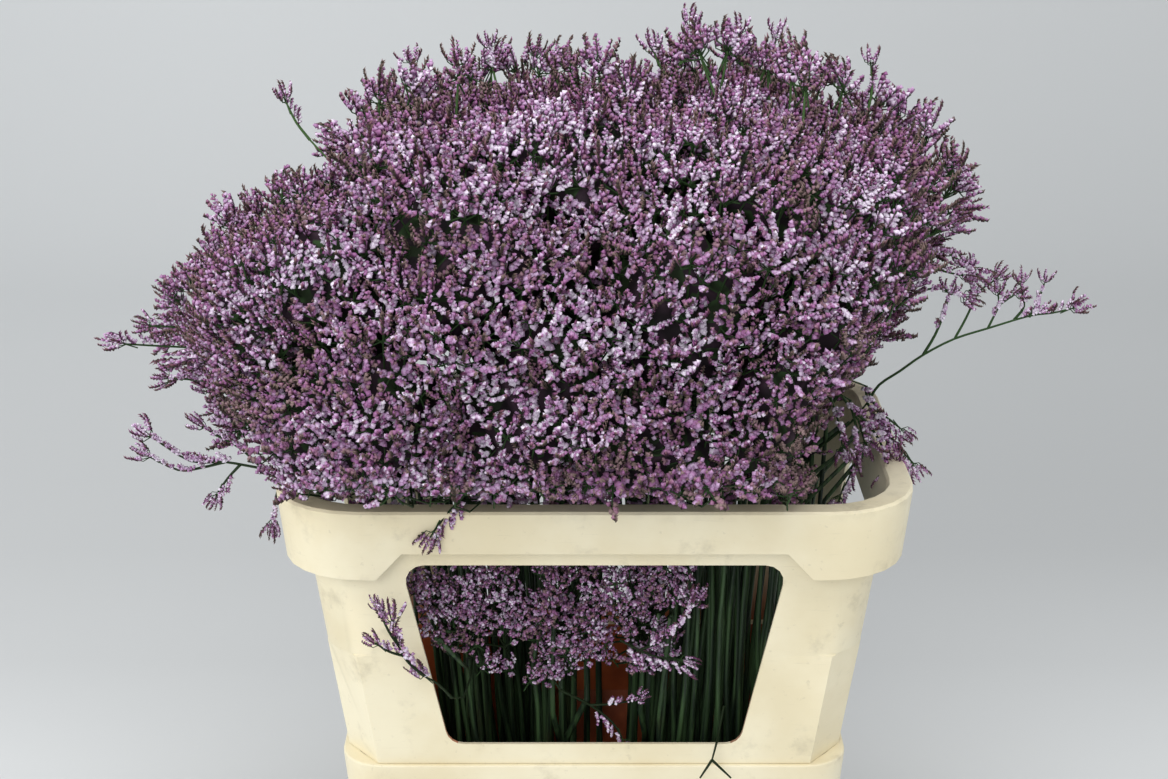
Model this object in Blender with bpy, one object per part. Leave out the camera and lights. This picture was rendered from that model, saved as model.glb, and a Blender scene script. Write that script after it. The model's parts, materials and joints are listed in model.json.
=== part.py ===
"""Flowering stems of statice standing in a two-piece flower-trade container.

The lower piece is a tapered bucket. The upper piece is a collar that drops into the
bucket's rim and holds the stems upright, with a wide window in each of its four walls.
Every flowering stem is two solids: a green stalk and the spray of flower spikes on it.
Units are metres, +Z is up, and the origin is the middle of the bucket's underside.
"""

import math
import random

import bmesh
import bpy
import numpy as np
from mathutils import Matrix, Vector

# Heights of the container's features above the surface that it stands on
FLOOR_THICK = 0.004
BUCKET_LEDGE_Z = 0.190
BUCKET_TOP_Z = 0.250
COLLAR_LEDGE_Z = 0.346
BAND_LOW_Z = 0.420
BAND_HIGH_Z = 0.441
RIM_Z = 0.476
SEAT_GAP = 0.0003
WALL = 0.003
FLANGE_WIDE = 0.012
FLANGE_THICK = 0.004

# Half widths (X) and half depths (Y) of the outside at those heights
BUCKET_BASE = (0.168, 0.106)
BUCKET_LEDGE = (0.189, 0.1265)
BUCKET_TOP = (0.1995, 0.1365)
COLLAR_BASE = (0.1950, 0.1330)
COLLAR_MID = (0.2080, 0.1420)
COLLAR_TOP = (0.2270, 0.1545)
BAND_BOTTOM = (0.2370, 0.1655)
BAND_TOP = (0.2430, 0.1698)
CHAMFER = (0.0260, 0.0340)

# Where the band's lower edge steps up over a window, from low to high
FRONT_STEP = (0.163, 0.1435)
SIDE_STEP = (0.0985, 0.0895)

# Windows: half width at the sill, half width at the head, sill height, head height, corner radius
FRONT_WINDOW = (0.113, 0.1455, 0.268, 0.4255, 0.014)
SIDE_WINDOW = (0.068, 0.0875, 0.272, 0.4300, 0.020)

# The flower mass: a rounded dome standing on the collar's mouth
DOME_CENTRE = Vector((-0.012, 0.0, 0.505))
DOME_HALF = Vector((0.325, 0.245, 0.285))
DOME_POWER = 3.0
DOME_BELOW = 0.30
OVERHANG_RISE = (0.60, 0.42)

# The stems: how many end in the dome, and where they pass the collar's mouth
STEMS_ABOVE = 26
LOWEST_DIRECTION = -0.04
SIDE_BIAS = 0.86
LOWEST_MIDDLE = 0.518
FIRST_TURN = 2.4
FLOOR_SEAT = FLOOR_THICK + SEAT_GAP
STALK_RADIUS = 0.0028
JOINT_Z = 0.440
MOUTH_HALF = (0.186, 0.112)

# Low sprays seen through the front window: x, y, height of the middle, height of the tip
LOW_SPRAYS = ((-0.104, -0.098, 0.375, 0.420), (-0.028, -0.100, 0.380, 0.424), (0.046, -0.098, 0.372, 0.420))
LOW_FRONT = -0.134

# Each spray's core, and the spikes raised from it
CORE_SHARE = 0.84
CORE_FLOOR = 0.478
LOW_CORE_FLOOR = 0.330
CORE_ROOM = 0.004
COLLAR_ROOM = 0.007
SPIKE_ROOM = 0.002
SPIKE_LENGTH = 0.038
SPIKE_RADIUS = 0.0034
HIDDEN_SIDE = 0.10
SHOOT_RADIUS = 0.0016

# Thin shoots that stand out of the mass: points on each, its spikes, and which way they rise
SHOOTS = (
    {
        "points": ((0.216, -0.05, 0.527), (0.282, -0.05, 0.574), (0.325, -0.05, 0.59), (0.369, -0.05, 0.602)),
        "spikes": 9,
        "length": 0.030,
        "upward": (0, 0, 1),
    },
    {
        "points": ((0.241, -0.052, 0.560), (0.262, -0.052, 0.600), (0.281, -0.050, 0.634)),
        "spikes": 5,
        "length": 0.016,
        "upward": (0.3, 0, 1),
    },
    {
        "points": ((-0.254, -0.030, 0.556), (-0.305, -0.030, 0.557), (-0.370, -0.030, 0.562)),
        "spikes": 9,
        "length": 0.022,
        "upward": (0.2, 0, 1),
    },
    {
        "points": ((-0.250, -0.060, 0.518), (-0.285, -0.060, 0.524), (-0.334, -0.060, 0.535)),
        "spikes": 6,
        "length": 0.016,
        "upward": (-0.2, 0, 1),
    },
    {
        "points": ((-0.225, -0.1, 0.5), (-0.262, -0.1, 0.492), (-0.322, -0.095, 0.49), (-0.35, -0.09, 0.5)),
        "spikes": 9,
        "length": 0.020,
        "upward": (-0.1, 0, 1),
    },
    {
        "points": ((-0.095, -0.165, 0.508), (-0.109, -0.182, 0.486), (-0.119, -0.186, 0.466)),
        "spikes": 5,
        "length": 0.014,
        "upward": (0.1, -0.5, 0),
    },
    {
        "points": ((0.222, -0.030, 0.512), (0.250, -0.030, 0.492), (0.262, -0.030, 0.458)),
        "spikes": 7,
        "length": 0.018,
        "upward": (0.6, 0, 0.2),
    },
    {
        "points": ((0.060, 0.010, 0.760), (0.072, 0.004, 0.785), (0.073, 0.000, 0.804)),
        "spikes": 5,
        "length": 0.015,
        "upward": (0, 0, 1),
    },
    {
        "points": (
            (-0.095, -0.118, 0.318),
            (-0.108, -0.145, 0.322),
            (-0.145, -0.178, 0.366),
            (-0.160, -0.180, 0.400),
        ),
        "spikes": 8,
        "length": 0.017,
        "upward": (-0.4, 0, 0.8),
        "low": True,
    },
)

CREAM = (0.83, 0.78, 0.62)
STALK_GREEN = (0.10, 0.17, 0.07)
FLOWER_MAUVE = (0.50, 0.33, 0.55)


def clear_scene():
    for obj in list(bpy.data.objects):
        bpy.data.objects.remove(obj, do_unlink=True)


def collection(name):
    made = bpy.data.collections.new(name)
    bpy.context.scene.collection.children.link(made)
    return made


def material(name, colour, roughness):
    made = bpy.data.materials.new(name)
    made.use_nodes = True
    shader = made.node_tree.nodes["Principled BSDF"]
    shader.inputs["Base Color"].default_value = (*colour, 1)
    shader.inputs["Roughness"].default_value = roughness
    shader.inputs["Metallic"].default_value = 0
    return made


def object_from(name, bm, home, finish=None):
    mesh = bpy.data.meshes.new(name)
    bm.to_mesh(mesh)
    bm.free()
    obj = bpy.data.objects.new(name, mesh)
    home.objects.link(obj)
    if finish:
        mesh.materials.append(finish)
    return obj


# The container

def section(half, radius, height, chamfered=False, stepped=False, segments=6):
    """One level outline of a wall, counter-clockwise, with points where the band's lower edge steps."""
    hw, hd = half
    corner = []
    for i in range(segments + 1):
        share = i / segments
        if chamfered:
            corner.append((hw - CHAMFER[0] * share, hd - CHAMFER[1] * (1 - share)))
        else:
            turn = share * math.pi / 2
            corner.append((hw - radius + radius * math.cos(turn), hd - radius + radius * math.sin(turn)))
    right = [(hw, y) for y in (-SIDE_STEP[0], -SIDE_STEP[1], SIDE_STEP[1], SIDE_STEP[0]) if stepped]
    back = [(x, hd) for x in (FRONT_STEP[0], FRONT_STEP[1], -FRONT_STEP[1], -FRONT_STEP[0]) if stepped]
    half_way = right + corner + back + [(-x, y) for x, y in reversed(corner)]
    outline = half_way + [(-x, -y) for x, y in half_way]
    return [Vector((x, y, height)) for x, y in outline]


def band_height(point):
    """The band's lower edge: low at the corners, stepped up over each window."""
    over_front = abs(point.x) < FRONT_STEP[1] + 1e-6 and abs(point.y) > 0.14
    over_side = abs(point.y) < SIDE_STEP[1] + 1e-6 and abs(point.x) > 0.2
    return BAND_HIGH_Z if over_front or over_side else BAND_LOW_Z


def grown(half, by):
    return (half[0] + by, half[1] + by)


def loft(name, loops, home, finish, closed_ring):
    """Skins outlines of like number. A closed ring joins the last to the first, else both ends are capped."""
    bm = bmesh.new()
    rings = [[bm.verts.new(point) for point in loop] for loop in loops]
    pairs = list(zip(rings, rings[1:]))
    if closed_ring:
        pairs.append((rings[-1], rings[0]))
    for low, high in pairs:
        for i in range(len(low)):
            j = (i + 1) % len(low)
            bm.faces.new((low[i], low[j], high[j], high[i]))
    if not closed_ring:
        bm.faces.new(list(reversed(rings[0])))
        bm.faces.new(rings[-1])
    bmesh.ops.recalc_face_normals(bm, faces=bm.faces)
    obj = object_from(name, bm, home, finish)
    obj.data.shade_smooth()
    obj.data.set_sharp_from_angle(angle=math.radians(35))
    return obj


def make_bucket(home, finish):
    """The lower bucket: tapered walls with a ledge inside, and an inward flange that the collar stands on."""
    ledge_inside = grown(BUCKET_LEDGE, -WALL)
    under_flange = grown(BUCKET_TOP, -WALL)
    flange = grown(BUCKET_TOP, -FLANGE_WIDE)
    loops = [
        section(grown(BUCKET_BASE, -0.004), 0.026, 0.0),
        section(BUCKET_BASE, 0.030, 0.004),
        section(BUCKET_LEDGE, 0.031, BUCKET_LEDGE_Z - 0.007),
        section(grown(BUCKET_LEDGE, 0.005), 0.032, BUCKET_LEDGE_Z - 0.001),
        section(BUCKET_TOP, 0.034, BUCKET_TOP_Z - 0.001),
        section(grown(BUCKET_TOP, -0.001), 0.033, BUCKET_TOP_Z),
        section(flange, 0.024, BUCKET_TOP_Z),
        section(flange, 0.024, BUCKET_TOP_Z - FLANGE_THICK),
        section(under_flange, 0.031, BUCKET_TOP_Z - FLANGE_THICK),
        section(grown(ledge_inside, 0.0055), 0.0285, BUCKET_LEDGE_Z + 0.001),
        section(ledge_inside, 0.028, BUCKET_LEDGE_Z),
        section(grown(BUCKET_BASE, -WALL), 0.026, FLOOR_THICK),
    ]
    return loft("bucket", loops, home, finish, closed_ring=False)


def make_collar(home, finish):
    """The upper collar: an insert inside the bucket, chamfered then rounded walls, and a folded-over band."""

    def ring(half, radius, height, chamfered=False):
        return section(half, radius, height, chamfered, stepped=True)

    seat = BUCKET_TOP_Z + SEAT_GAP
    insert_top = grown(BUCKET_TOP, -FLANGE_WIDE - 0.001)
    insert_low = grown(insert_top, -0.0035)
    inner_top = grown(insert_top, -WALL)
    inner_low = grown(insert_low, -WALL)
    outside = [
        ring(insert_low, 0.0200, BUCKET_LEDGE_Z),
        ring(insert_top, 0.0210, seat),
        ring(COLLAR_BASE, 0, seat, chamfered=True),
        ring(COLLAR_MID, 0, COLLAR_LEDGE_Z, chamfered=True),
        ring(grown(COLLAR_MID, 0.0003), 0.040, COLLAR_LEDGE_Z + 0.002),
        ring(COLLAR_TOP, 0.055, RIM_Z - WALL),
    ]
    band = [
        ring(grown(BAND_TOP, -WALL), 0.0645, RIM_Z - WALL),
        ring(grown(BAND_BOTTOM, -WALL), 0.0620, BAND_LOW_Z),
        ring(BAND_BOTTOM, 0.0640, BAND_LOW_Z),
        ring(BAND_TOP, 0.0670, RIM_Z - 0.002),
        ring(grown(BAND_TOP, -0.0016), 0.0660, RIM_Z),
    ]
    inside = [
        ring(grown(COLLAR_TOP, -0.0012), 0.0545, RIM_Z),
        ring(grown(COLLAR_TOP, -WALL), 0.0530, RIM_Z - 0.002),
        ring(grown(COLLAR_MID, 0.0006 - WALL), 0.038, COLLAR_LEDGE_Z + 0.006),
        ring(grown(COLLAR_MID, -WALL), 0, COLLAR_LEDGE_Z + 0.0035, chamfered=True),
        ring(grown(COLLAR_BASE, -WALL), 0, seat + WALL, chamfered=True),
        ring(inner_top, 0.0180, seat + WALL),
        ring(inner_low, 0.0170, BUCKET_LEDGE_Z),
    ]
    for edge in band[1:3]:
        for point in edge:
            point.z = band_height(point)
    return loft("collar", outside + band + inside, home, finish, closed_ring=True)


def rounded_outline(corners, radius, steps=4):
    """A flat outline with each corner rounded by an arc."""
    points = []
    count = len(corners)
    for i in range(count):
        here = Vector(corners[i])
        before = (Vector(corners[i - 1]) - here).normalized()
        after = (Vector(corners[(i + 1) % count]) - here).normalized()
        half = before.angle(after) / 2
        start = here + before * radius / math.tan(half)
        middle = here + (before + after).normalized() * radius / math.sin(half)
        arm = start - middle
        sweep = math.pi - 2 * half
        turn_sign = -1 if before.cross(after) > 0 else 1
        for k in range(steps + 1):
            turn = Matrix.Rotation(turn_sign * sweep * k / steps, 2)
            points.append(middle + turn @ arm)
    return points


def window_cutter(name, window, along_y, home):
    """A prism with a window's rounded outline, long enough to pass both of a pair of walls."""
    sill_half, head_half, sill_z, head_z, radius = window
    corners = [(-sill_half, sill_z), (sill_half, sill_z), (head_half, head_z), (-head_half, head_z)]
    outline = rounded_outline(corners, radius)
    reach = 0.4
    bm = bmesh.new()
    if along_y:
        ring = [bm.verts.new((p.x, -reach, p.y)) for p in outline]
    else:
        ring = [bm.verts.new((-reach, p.x, p.y)) for p in outline]
    face = bm.faces.new(ring)
    pushed = bmesh.ops.extrude_face_region(bm, geom=[face])["geom"]
    shift = Vector((0, 2 * reach, 0)) if along_y else Vector((2 * reach, 0, 0))
    bmesh.ops.translate(bm, vec=shift, verts=[v for v in pushed if isinstance(v, bmesh.types.BMVert)])
    bmesh.ops.recalc_face_normals(bm, faces=bm.faces)
    cutter = object_from(name, bm, home)
    cutter.hide_render = True
    cutter.display_type = "WIRE"
    return cutter


def cut_windows(collar, cutters):
    for name, window, along_y in (("front_cut", FRONT_WINDOW, True), ("side_cut", SIDE_WINDOW, False)):
        modifier = collar.modifiers.new(name, "BOOLEAN")
        modifier.operation = "DIFFERENCE"
        modifier.solver = "EXACT"
        modifier.object = window_cutter(name, window, along_y, cutters)


# Where each stem runs: from the bucket's floor, up through the collar's mouth, out to the dome's skin

def dome_reach(direction):
    """How far the dome's skin lies from its centre in a direction."""
    half = DOME_HALF.copy()
    if direction.z < 0:
        half.z = DOME_BELOW
    total = sum(abs(direction[i] / half[i]) ** DOME_POWER for i in range(3))
    return total ** (-1 / DOME_POWER)


def stem_directions():
    """Even directions over the dome, from straight up to a little below level."""
    golden = math.pi * (3 - math.sqrt(5))
    found = []
    for i in range(STEMS_ABOVE):
        up = 1 - ((i + 0.5) / STEMS_ABOVE) ** SIDE_BIAS * (1 - LOWEST_DIRECTION)
        flat = math.sqrt(1 - up * up)
        turn = i * golden + FIRST_TURN
        found.append(Vector((flat * math.cos(turn), flat * math.sin(turn), up)).normalized())
    return found


def front_limit(x):
    """How near the front wall a stalk may pass: the low sprays take that space, except at the right."""
    share = min(max((x - 0.085) / 0.045, 0), 1)
    return -0.045 - 0.065 * share


def mouth_point(direction):
    """Where a stalk passes the collar's mouth: the further the spray leans out, the nearer the wall."""
    lean = min(math.acos(direction.z) / math.radians(96), 1)
    flat = Vector((direction.x, direction.y)).normalized() * lean**0.85
    x = MOUTH_HALF[0] * flat.x
    front, back = front_limit(x), MOUTH_HALF[1]
    return Vector((x, (front + back) / 2 + flat.y * (back - front) / 2, JOINT_Z))


def high_spine(direction):
    """Foot, mouth, middle of the spray and tip of a stem that ends in the dome."""
    mouth = mouth_point(direction)
    foot = Vector((mouth.x * 0.76, (mouth.y - 0.02) * 0.68, FLOOR_SEAT))
    reach = dome_reach(direction)
    middle = DOME_CENTRE + direction * reach * (0.60 if direction.z > 0.35 else 0.66)
    middle.z = max(middle.z, LOWEST_MIDDLE)
    return [foot, mouth, middle, DOME_CENTRE + direction * reach]


def low_spine(x, y, middle_z, tip_z):
    """The same four points for a short stem, whose spray shows through the front window."""
    foot = Vector((x * 0.80, -0.083, FLOOR_SEAT))
    joint = Vector((x * 0.96, y + 0.014, 0.318))
    return [foot, joint, Vector((x, y, middle_z)), Vector((x, y, tip_z))]


def all_spines():
    spines = [high_spine(direction) for direction in stem_directions()]
    return spines + [low_spine(*low) for low in LOW_SPRAYS]


class Shoot:
    """A thin shoot, with the stem that it grows from and the point where it leaves that stem."""

    def __init__(self, points, spikes, length, upward, low=False):
        self.points = [Vector(point) for point in points]
        self.spikes = spikes
        self.length = length
        self.upward = Vector(upward)
        self.low = low
        self.stem = None
        self.root = None


def give_shoots(spines):
    """Each shoot grows from the nearest spray that has none yet, a low one where the shoot is low."""
    shoots = [Shoot(**shoot) for shoot in SHOOTS]
    free = set(range(len(spines)))
    for shoot in shoots:
        choice = [stem for stem in free if (stem >= STEMS_ABOVE) == shoot.low]
        heads = {stem: spines[stem][2].lerp(spines[stem][3], 0.4) for stem in choice}
        shoot.stem = min(choice, key=lambda stem: (heads[stem] - shoot.points[0]).length)
        shoot.root = spines[shoot.stem][2].lerp(spines[shoot.stem][3], 0.25)
        free.remove(shoot.stem)
    return shoots


class Cells:
    """Shares the space out: a point belongs to the stem whose spine or shoot is nearest."""

    def __init__(self, lines):
        pieces = [(stem, a, b) for stem, points in lines for a, b in zip(points, points[1:])]
        self.owner = np.array([stem for stem, _, _ in pieces])
        self.count = self.owner.max() + 1
        self.start = np.array([list(a) for _, a, _ in pieces])
        self.along = np.array([list(b - a) for _, a, b in pieces])
        self.square = (self.along**2).sum(-1)

    def gaps(self, points):
        """Distance from each point to each stem."""
        points = np.asarray(points, float)[:, None, :]
        from_start = points - self.start[None]
        share = np.clip((from_start * self.along[None]).sum(-1) / self.square[None], 0, 1)
        nearest = np.linalg.norm(from_start - share[..., None] * self.along[None], axis=-1)
        return np.stack([nearest[:, self.owner == stem].min(1) for stem in range(self.count)], 1)

    def owned(self, points, stem, room):
        """True for each point that lies at least this far inside the stem's own space."""
        gaps = self.gaps(points)
        own = gaps[:, stem].copy()
        gaps[:, stem] = np.inf
        return own + 2 * room < gaps.min(-1)


def in_window(points, window, along, across, room):
    """True for each point that a window's opening holds, at this distance from its edges."""
    sill_half, head_half, sill_z, head_z, _ = window
    share = (points[:, 2] - sill_z) / (head_z - sill_z)
    wide = np.abs(points[:, along]) < sill_half + share * (head_half - sill_half) - room
    tall = (points[:, 2] > sill_z + room) & (points[:, 2] < head_z - room)
    return wide & tall & (np.abs(points[:, across]) > 0.09)


def clear_of_collar(points, room, hanging=False):
    """True for each point that keeps this room from the collar. A hanging shoot may drop outside its band."""
    points = np.asarray(points, float)
    x, y, z = np.abs(points[:, 0]), np.abs(points[:, 1]), points[:, 2]
    rise = np.clip((z - BUCKET_TOP_Z) / (RIM_Z - BUCKET_TOP_Z), 0, 1)
    inside_x = COLLAR_BASE[0] - 0.014 + rise * (COLLAR_TOP[0] - COLLAR_BASE[0] + 0.008)
    inside_y = COLLAR_BASE[1] - 0.016 + rise * (COLLAR_TOP[1] - COLLAR_BASE[1] + 0.008)
    corner = np.hypot(np.maximum(x - inside_x + 0.05, 0), np.maximum(y - inside_y + 0.05, 0))
    inside = (x < inside_x - room) & (y < inside_y - room) & (corner < 0.05 - room)
    beyond_x, beyond_y = np.maximum(x - COLLAR_TOP[0], 0), np.maximum(y - COLLAR_TOP[1], 0)
    lift = 0 if hanging else OVERHANG_RISE[0] * beyond_x + OVERHANG_RISE[1] * beyond_y
    above = z > RIM_Z + room + lift
    outside = ((x > BAND_TOP[0] + room) | (y > BAND_TOP[1] + room)) & hanging
    window = in_window(points, FRONT_WINDOW, 0, 1, room) & hanging
    return inside | above | outside | window


# The stems

def make_stalk(name, spine, home, finish):
    """A stalk from the bucket's floor to just under its spray."""
    foot, joint = spine[0], spine[1]
    along = (joint - foot).normalized()
    lift = STALK_RADIUS * along.to_2d().length
    ends = [foot + Vector((0, 0, lift)), joint - along * SEAT_GAP]
    data = bpy.data.curves.new(name, "CURVE")
    data.dimensions = "3D"
    data.bevel_depth = STALK_RADIUS
    data.bevel_resolution = 1
    data.use_fill_caps = True
    line = data.splines.new("POLY")
    line.points.add(len(ends) - 1)
    for point, place in zip(line.points, ends):
        point.co = (*place, 1)
    obj = bpy.data.objects.new(name, data)
    home.objects.link(obj)
    data.materials.append(finish)
    return obj


def rod(points, radii, home, sides=3, turn=0.0):
    """A few-sided rod through points, as a solid of its own."""
    bm = bmesh.new()
    rings = []
    for i, point in enumerate(points):
        ahead = points[min(i + 1, len(points) - 1)] - points[max(i - 1, 0)]
        basis = ahead.to_track_quat("Z", "Y").to_matrix()
        spokes = [turn + math.tau * k / sides for k in range(sides)]
        ring = [point + basis @ Vector((math.cos(a), math.sin(a), 0)) * radii[i] for a in spokes]
        rings.append([bm.verts.new(place) for place in ring])
    for low, high in zip(rings, rings[1:]):
        for k in range(sides):
            j = (k + 1) % sides
            bm.faces.new((low[k], low[j], high[j], high[k]))
    bm.faces.new(list(reversed(rings[0])))
    bm.faces.new(rings[-1])
    return object_from("rod", bm, home)


def ray_points(start, direction, distances):
    return np.array(start) + distances[:, None] * np.array(direction)


def core_reach(cells, stem, centre, direction, floor_z):
    """How far the core reaches before a neighbour's space, the collar or the dome's inner skin."""
    distances = np.arange(0.006, 0.16, 0.002)
    points = ray_points(centre, direction, distances)
    free = cells.owned(points, stem, CORE_ROOM) & clear_of_collar(points, COLLAR_ROOM)
    free &= points[:, 2] > floor_z
    half = np.array(DOME_HALF) * CORE_SHARE
    free &= (np.abs((points - np.array(DOME_CENTRE)) / half) ** DOME_POWER).sum(-1) < 1
    stop = len(distances) if free.all() else int(np.argmin(free))
    return distances[max(stop - 1, 0)]


def looks_out(face, centre, outward):
    """True for a face of the core that looks out of the flower mass."""
    return (face.calc_center_median() - centre).normalized().dot(outward) > HIDDEN_SIDE


def make_core(cells, stem, centre, outward, floor_z):
    """The spray's smaller core: a ball, finer where it looks out, pulled to where its own space ends."""
    bm = bmesh.new()
    bmesh.ops.create_icosphere(bm, subdivisions=2, radius=1)
    edges = {edge for face in bm.faces if looks_out(face, Vector(), outward) for edge in face.edges}
    bmesh.ops.subdivide_edges(bm, edges=list(edges), cuts=1, use_grid_fill=True)
    bmesh.ops.triangulate(bm, faces=bm.faces)
    ways = {vert: vert.co.normalized() for vert in bm.verts}
    reach = {vert: core_reach(cells, stem, centre, way, floor_z) for vert, way in ways.items()}
    for vert, way in ways.items():
        nearby = min(reach[edge.other_vert(vert)] for edge in vert.link_edges)
        vert.co = centre + way * min(reach[vert], nearby * 1.4)
    return bm


def raise_spikes(bm, cells, stem, centre, outward, draw):
    """Raises a flower spike from each face of the core that looks out of the flower mass."""
    for face in [face for face in bm.faces if looks_out(face, centre, outward)]:
        weights = [draw.uniform(0.35, 1.0) for _ in face.verts]
        lean = sum((vert.co * weight for vert, weight in zip(face.verts, weights)), Vector()) / sum(weights)
        away = (lean - centre).normalized()
        line = ray_points(lean, away, np.linspace(0.002, SPIKE_LENGTH * draw.uniform(0.7, 1.3), 8))
        low = stem >= STEMS_ABOVE
        free = cells.owned(line, stem, SPIKE_ROOM) & clear_of_collar(line, SPIKE_ROOM, low)
        if low:
            free &= line[:, 1] > LOW_FRONT
        last = len(line) if free.all() else int(np.argmin(free))
        if last > 3:
            bmesh.ops.poke(bm, faces=[face])["verts"][0].co = line[last - 1]


def shoot_pieces(shoot, cells, home, draw):
    """A thin shoot that stands out of the mass, with short spikes along its upper side."""
    points = shoot.points
    thick = [SHOOT_RADIUS * (1 - 0.5 * i / (len(points) - 1)) for i in range(len(points))]
    rod([shoot.root] + points, [SHOOT_RADIUS] + thick, home, 3)
    for i in range(shoot.spikes):
        share = (i + 0.6) / shoot.spikes * (len(points) - 1)
        k = min(int(share), len(points) - 2)
        base = points[k].lerp(points[k + 1], share - k)
        along = (points[k + 1] - points[k]).normalized()
        side = Vector((draw.uniform(-0.5, 0.5), draw.uniform(-0.9, 0.9), 0))
        way = (along * 0.5 + shoot.upward + side * 0.8).normalized()
        length = shoot.length * draw.uniform(0.7, 1.2)
        root, tip = base - way * SHOOT_RADIUS, base + way * length
        line = ray_points(root, way, np.linspace(0, length, 6))
        free = cells.owned(line, shoot.stem, SPIKE_RADIUS) & clear_of_collar(line, SPIKE_ROOM, hanging=True)
        if free.all():
            radii = (SHOOT_RADIUS * 0.9, SPIKE_RADIUS, SPIKE_RADIUS * 0.2)
            rod([root, root.lerp(tip, 0.55), tip], radii, home, 3, draw.uniform(0, 2))


def fused(name, bm, pieces, home, finish):
    """One solid from a spray's core and the pieces that it is joined with."""
    first = object_from(name, bm, home, finish)
    modifier = first.modifiers.new("join", "BOOLEAN")
    modifier.operation = "UNION"
    modifier.operand_type = "COLLECTION"
    modifier.solver = "MANIFOLD"
    modifier.collection = pieces
    bpy.context.view_layer.update()
    evaluated = first.evaluated_get(bpy.context.evaluated_depsgraph_get())
    mesh = bpy.data.meshes.new_from_object(evaluated)
    first.modifiers.clear()
    first.data = mesh
    for obj in list(pieces.objects):
        bpy.data.objects.remove(obj, do_unlink=True)
    bpy.data.collections.remove(pieces)
    return first


def make_spray(name, stem, spine, shoots, cells, home, finish):
    draw = random.Random(100 + stem)
    low = stem >= STEMS_ABOVE
    centre = spine[2]
    outward = Vector((0, -0.95, 0.25)) if low else spine[3] - DOME_CENTRE
    outward.normalize()
    bm = make_core(cells, stem, centre, outward, LOW_CORE_FLOOR if low else CORE_FLOOR)
    raise_spikes(bm, cells, stem, centre, outward, draw)
    bmesh.ops.recalc_face_normals(bm, faces=bm.faces)
    pieces = collection("pieces")
    start = spine[1] + (spine[1] - spine[0]).normalized() * STALK_RADIUS
    rod([spine[1], start, spine[2]], [STALK_RADIUS] * 3, pieces, 6)
    for shoot in shoots:
        shoot_pieces(shoot, cells, pieces, draw)
    return fused(name, bm, pieces, home, finish)


def main():
    clear_scene()
    parts = collection("dried_statice")
    cutters = collection("cutters")
    cream = material("cream_plastic", CREAM, 0.45)
    green = material("stalk_green", STALK_GREEN, 0.6)
    mauve = material("flower_mauve", FLOWER_MAUVE, 0.8)
    make_bucket(parts, cream)
    cut_windows(make_collar(parts, cream), cutters)
    spines = all_spines()
    shoots = give_shoots(spines)
    lines = list(enumerate(spines)) + [(shoot.stem, [shoot.root] + shoot.points) for shoot in shoots]
    cells = Cells(lines)
    for stem, spine in enumerate(spines):
        number = f"{stem + 1:02d}"
        own = [shoot for shoot in shoots if shoot.stem == stem]
        make_stalk(f"stalk_{number}", spine, parts, green)
        make_spray(f"spray_{number}", stem, spine, own, cells, parts, mauve)
    cutters.hide_render = True


main()
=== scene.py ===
# %% [markdown]
# # Cut statice in a flower-trade container
#
# Bunches of statice travel to market standing in a plastic container of two pieces: a
# bucket for the feet of the stems, and a collar that stands on it and holds the stems
# upright. This lesson dresses the plain solids of such a container and its stems with
# fine shapes and finishes. The solids are the frame: none of them is moved or resized.

import json
import math
import random

import bmesh
import bpy
import numpy as np
from mathutils import Matrix, Vector, kdtree, noise
from mathutils.bvhtree import BVHTree

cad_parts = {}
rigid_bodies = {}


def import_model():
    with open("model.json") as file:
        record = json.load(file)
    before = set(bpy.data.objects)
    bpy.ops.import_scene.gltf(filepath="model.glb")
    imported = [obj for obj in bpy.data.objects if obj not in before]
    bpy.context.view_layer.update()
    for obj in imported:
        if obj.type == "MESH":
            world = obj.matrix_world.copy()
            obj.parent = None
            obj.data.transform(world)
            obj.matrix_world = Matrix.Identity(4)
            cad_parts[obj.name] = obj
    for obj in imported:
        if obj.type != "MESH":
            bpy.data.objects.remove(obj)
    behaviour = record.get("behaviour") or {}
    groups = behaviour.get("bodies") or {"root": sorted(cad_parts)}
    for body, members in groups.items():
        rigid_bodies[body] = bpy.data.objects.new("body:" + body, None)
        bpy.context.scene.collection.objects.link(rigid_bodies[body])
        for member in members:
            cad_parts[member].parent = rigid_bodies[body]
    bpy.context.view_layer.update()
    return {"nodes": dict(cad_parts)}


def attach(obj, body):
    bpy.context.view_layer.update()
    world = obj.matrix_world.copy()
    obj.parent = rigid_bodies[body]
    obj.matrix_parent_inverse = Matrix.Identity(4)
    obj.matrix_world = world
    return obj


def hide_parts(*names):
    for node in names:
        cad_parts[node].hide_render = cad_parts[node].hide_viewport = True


for leftover in list(bpy.data.objects):
    bpy.data.objects.remove(leftover, do_unlink=True)
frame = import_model()
NODES = frame["nodes"]

# %% [markdown]
# ## The camera
#
# The photograph was taken from a little above the flowers, looking down by about 18
# degrees. The lens follows from how strongly the container narrows away from us. Two
# helpers go between a pixel of the photograph and a point on an upright plane, so that
# a twig can be put where it is seen.

# %% Place the camera
PHOTO_SIZE = (1168, 779)
FOCAL_PIXELS = 2134
LOOK_DOWN = math.radians(18.4)
EYE = Vector((-0.008, -1.627, 1.056))


def linked(name, data):
    """A new object in the scene that holds this camera, lamp, curve or mesh."""
    obj = bpy.data.objects.new(name, data)
    bpy.context.scene.collection.objects.link(obj)
    return obj


camera_data = bpy.data.cameras.new("photo_camera")
camera_data.sensor_width = 36
camera_data.lens = camera_data.sensor_width * FOCAL_PIXELS / PHOTO_SIZE[0]
camera = linked("photo_camera", camera_data)
camera.location = EYE
camera.rotation_euler = (math.pi / 2 - LOOK_DOWN, 0, 0)
bpy.context.scene.camera = camera

AHEAD = Vector((0, math.cos(LOOK_DOWN), -math.sin(LOOK_DOWN)))
ABOVE = Vector((0, math.sin(LOOK_DOWN), math.cos(LOOK_DOWN)))


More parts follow.
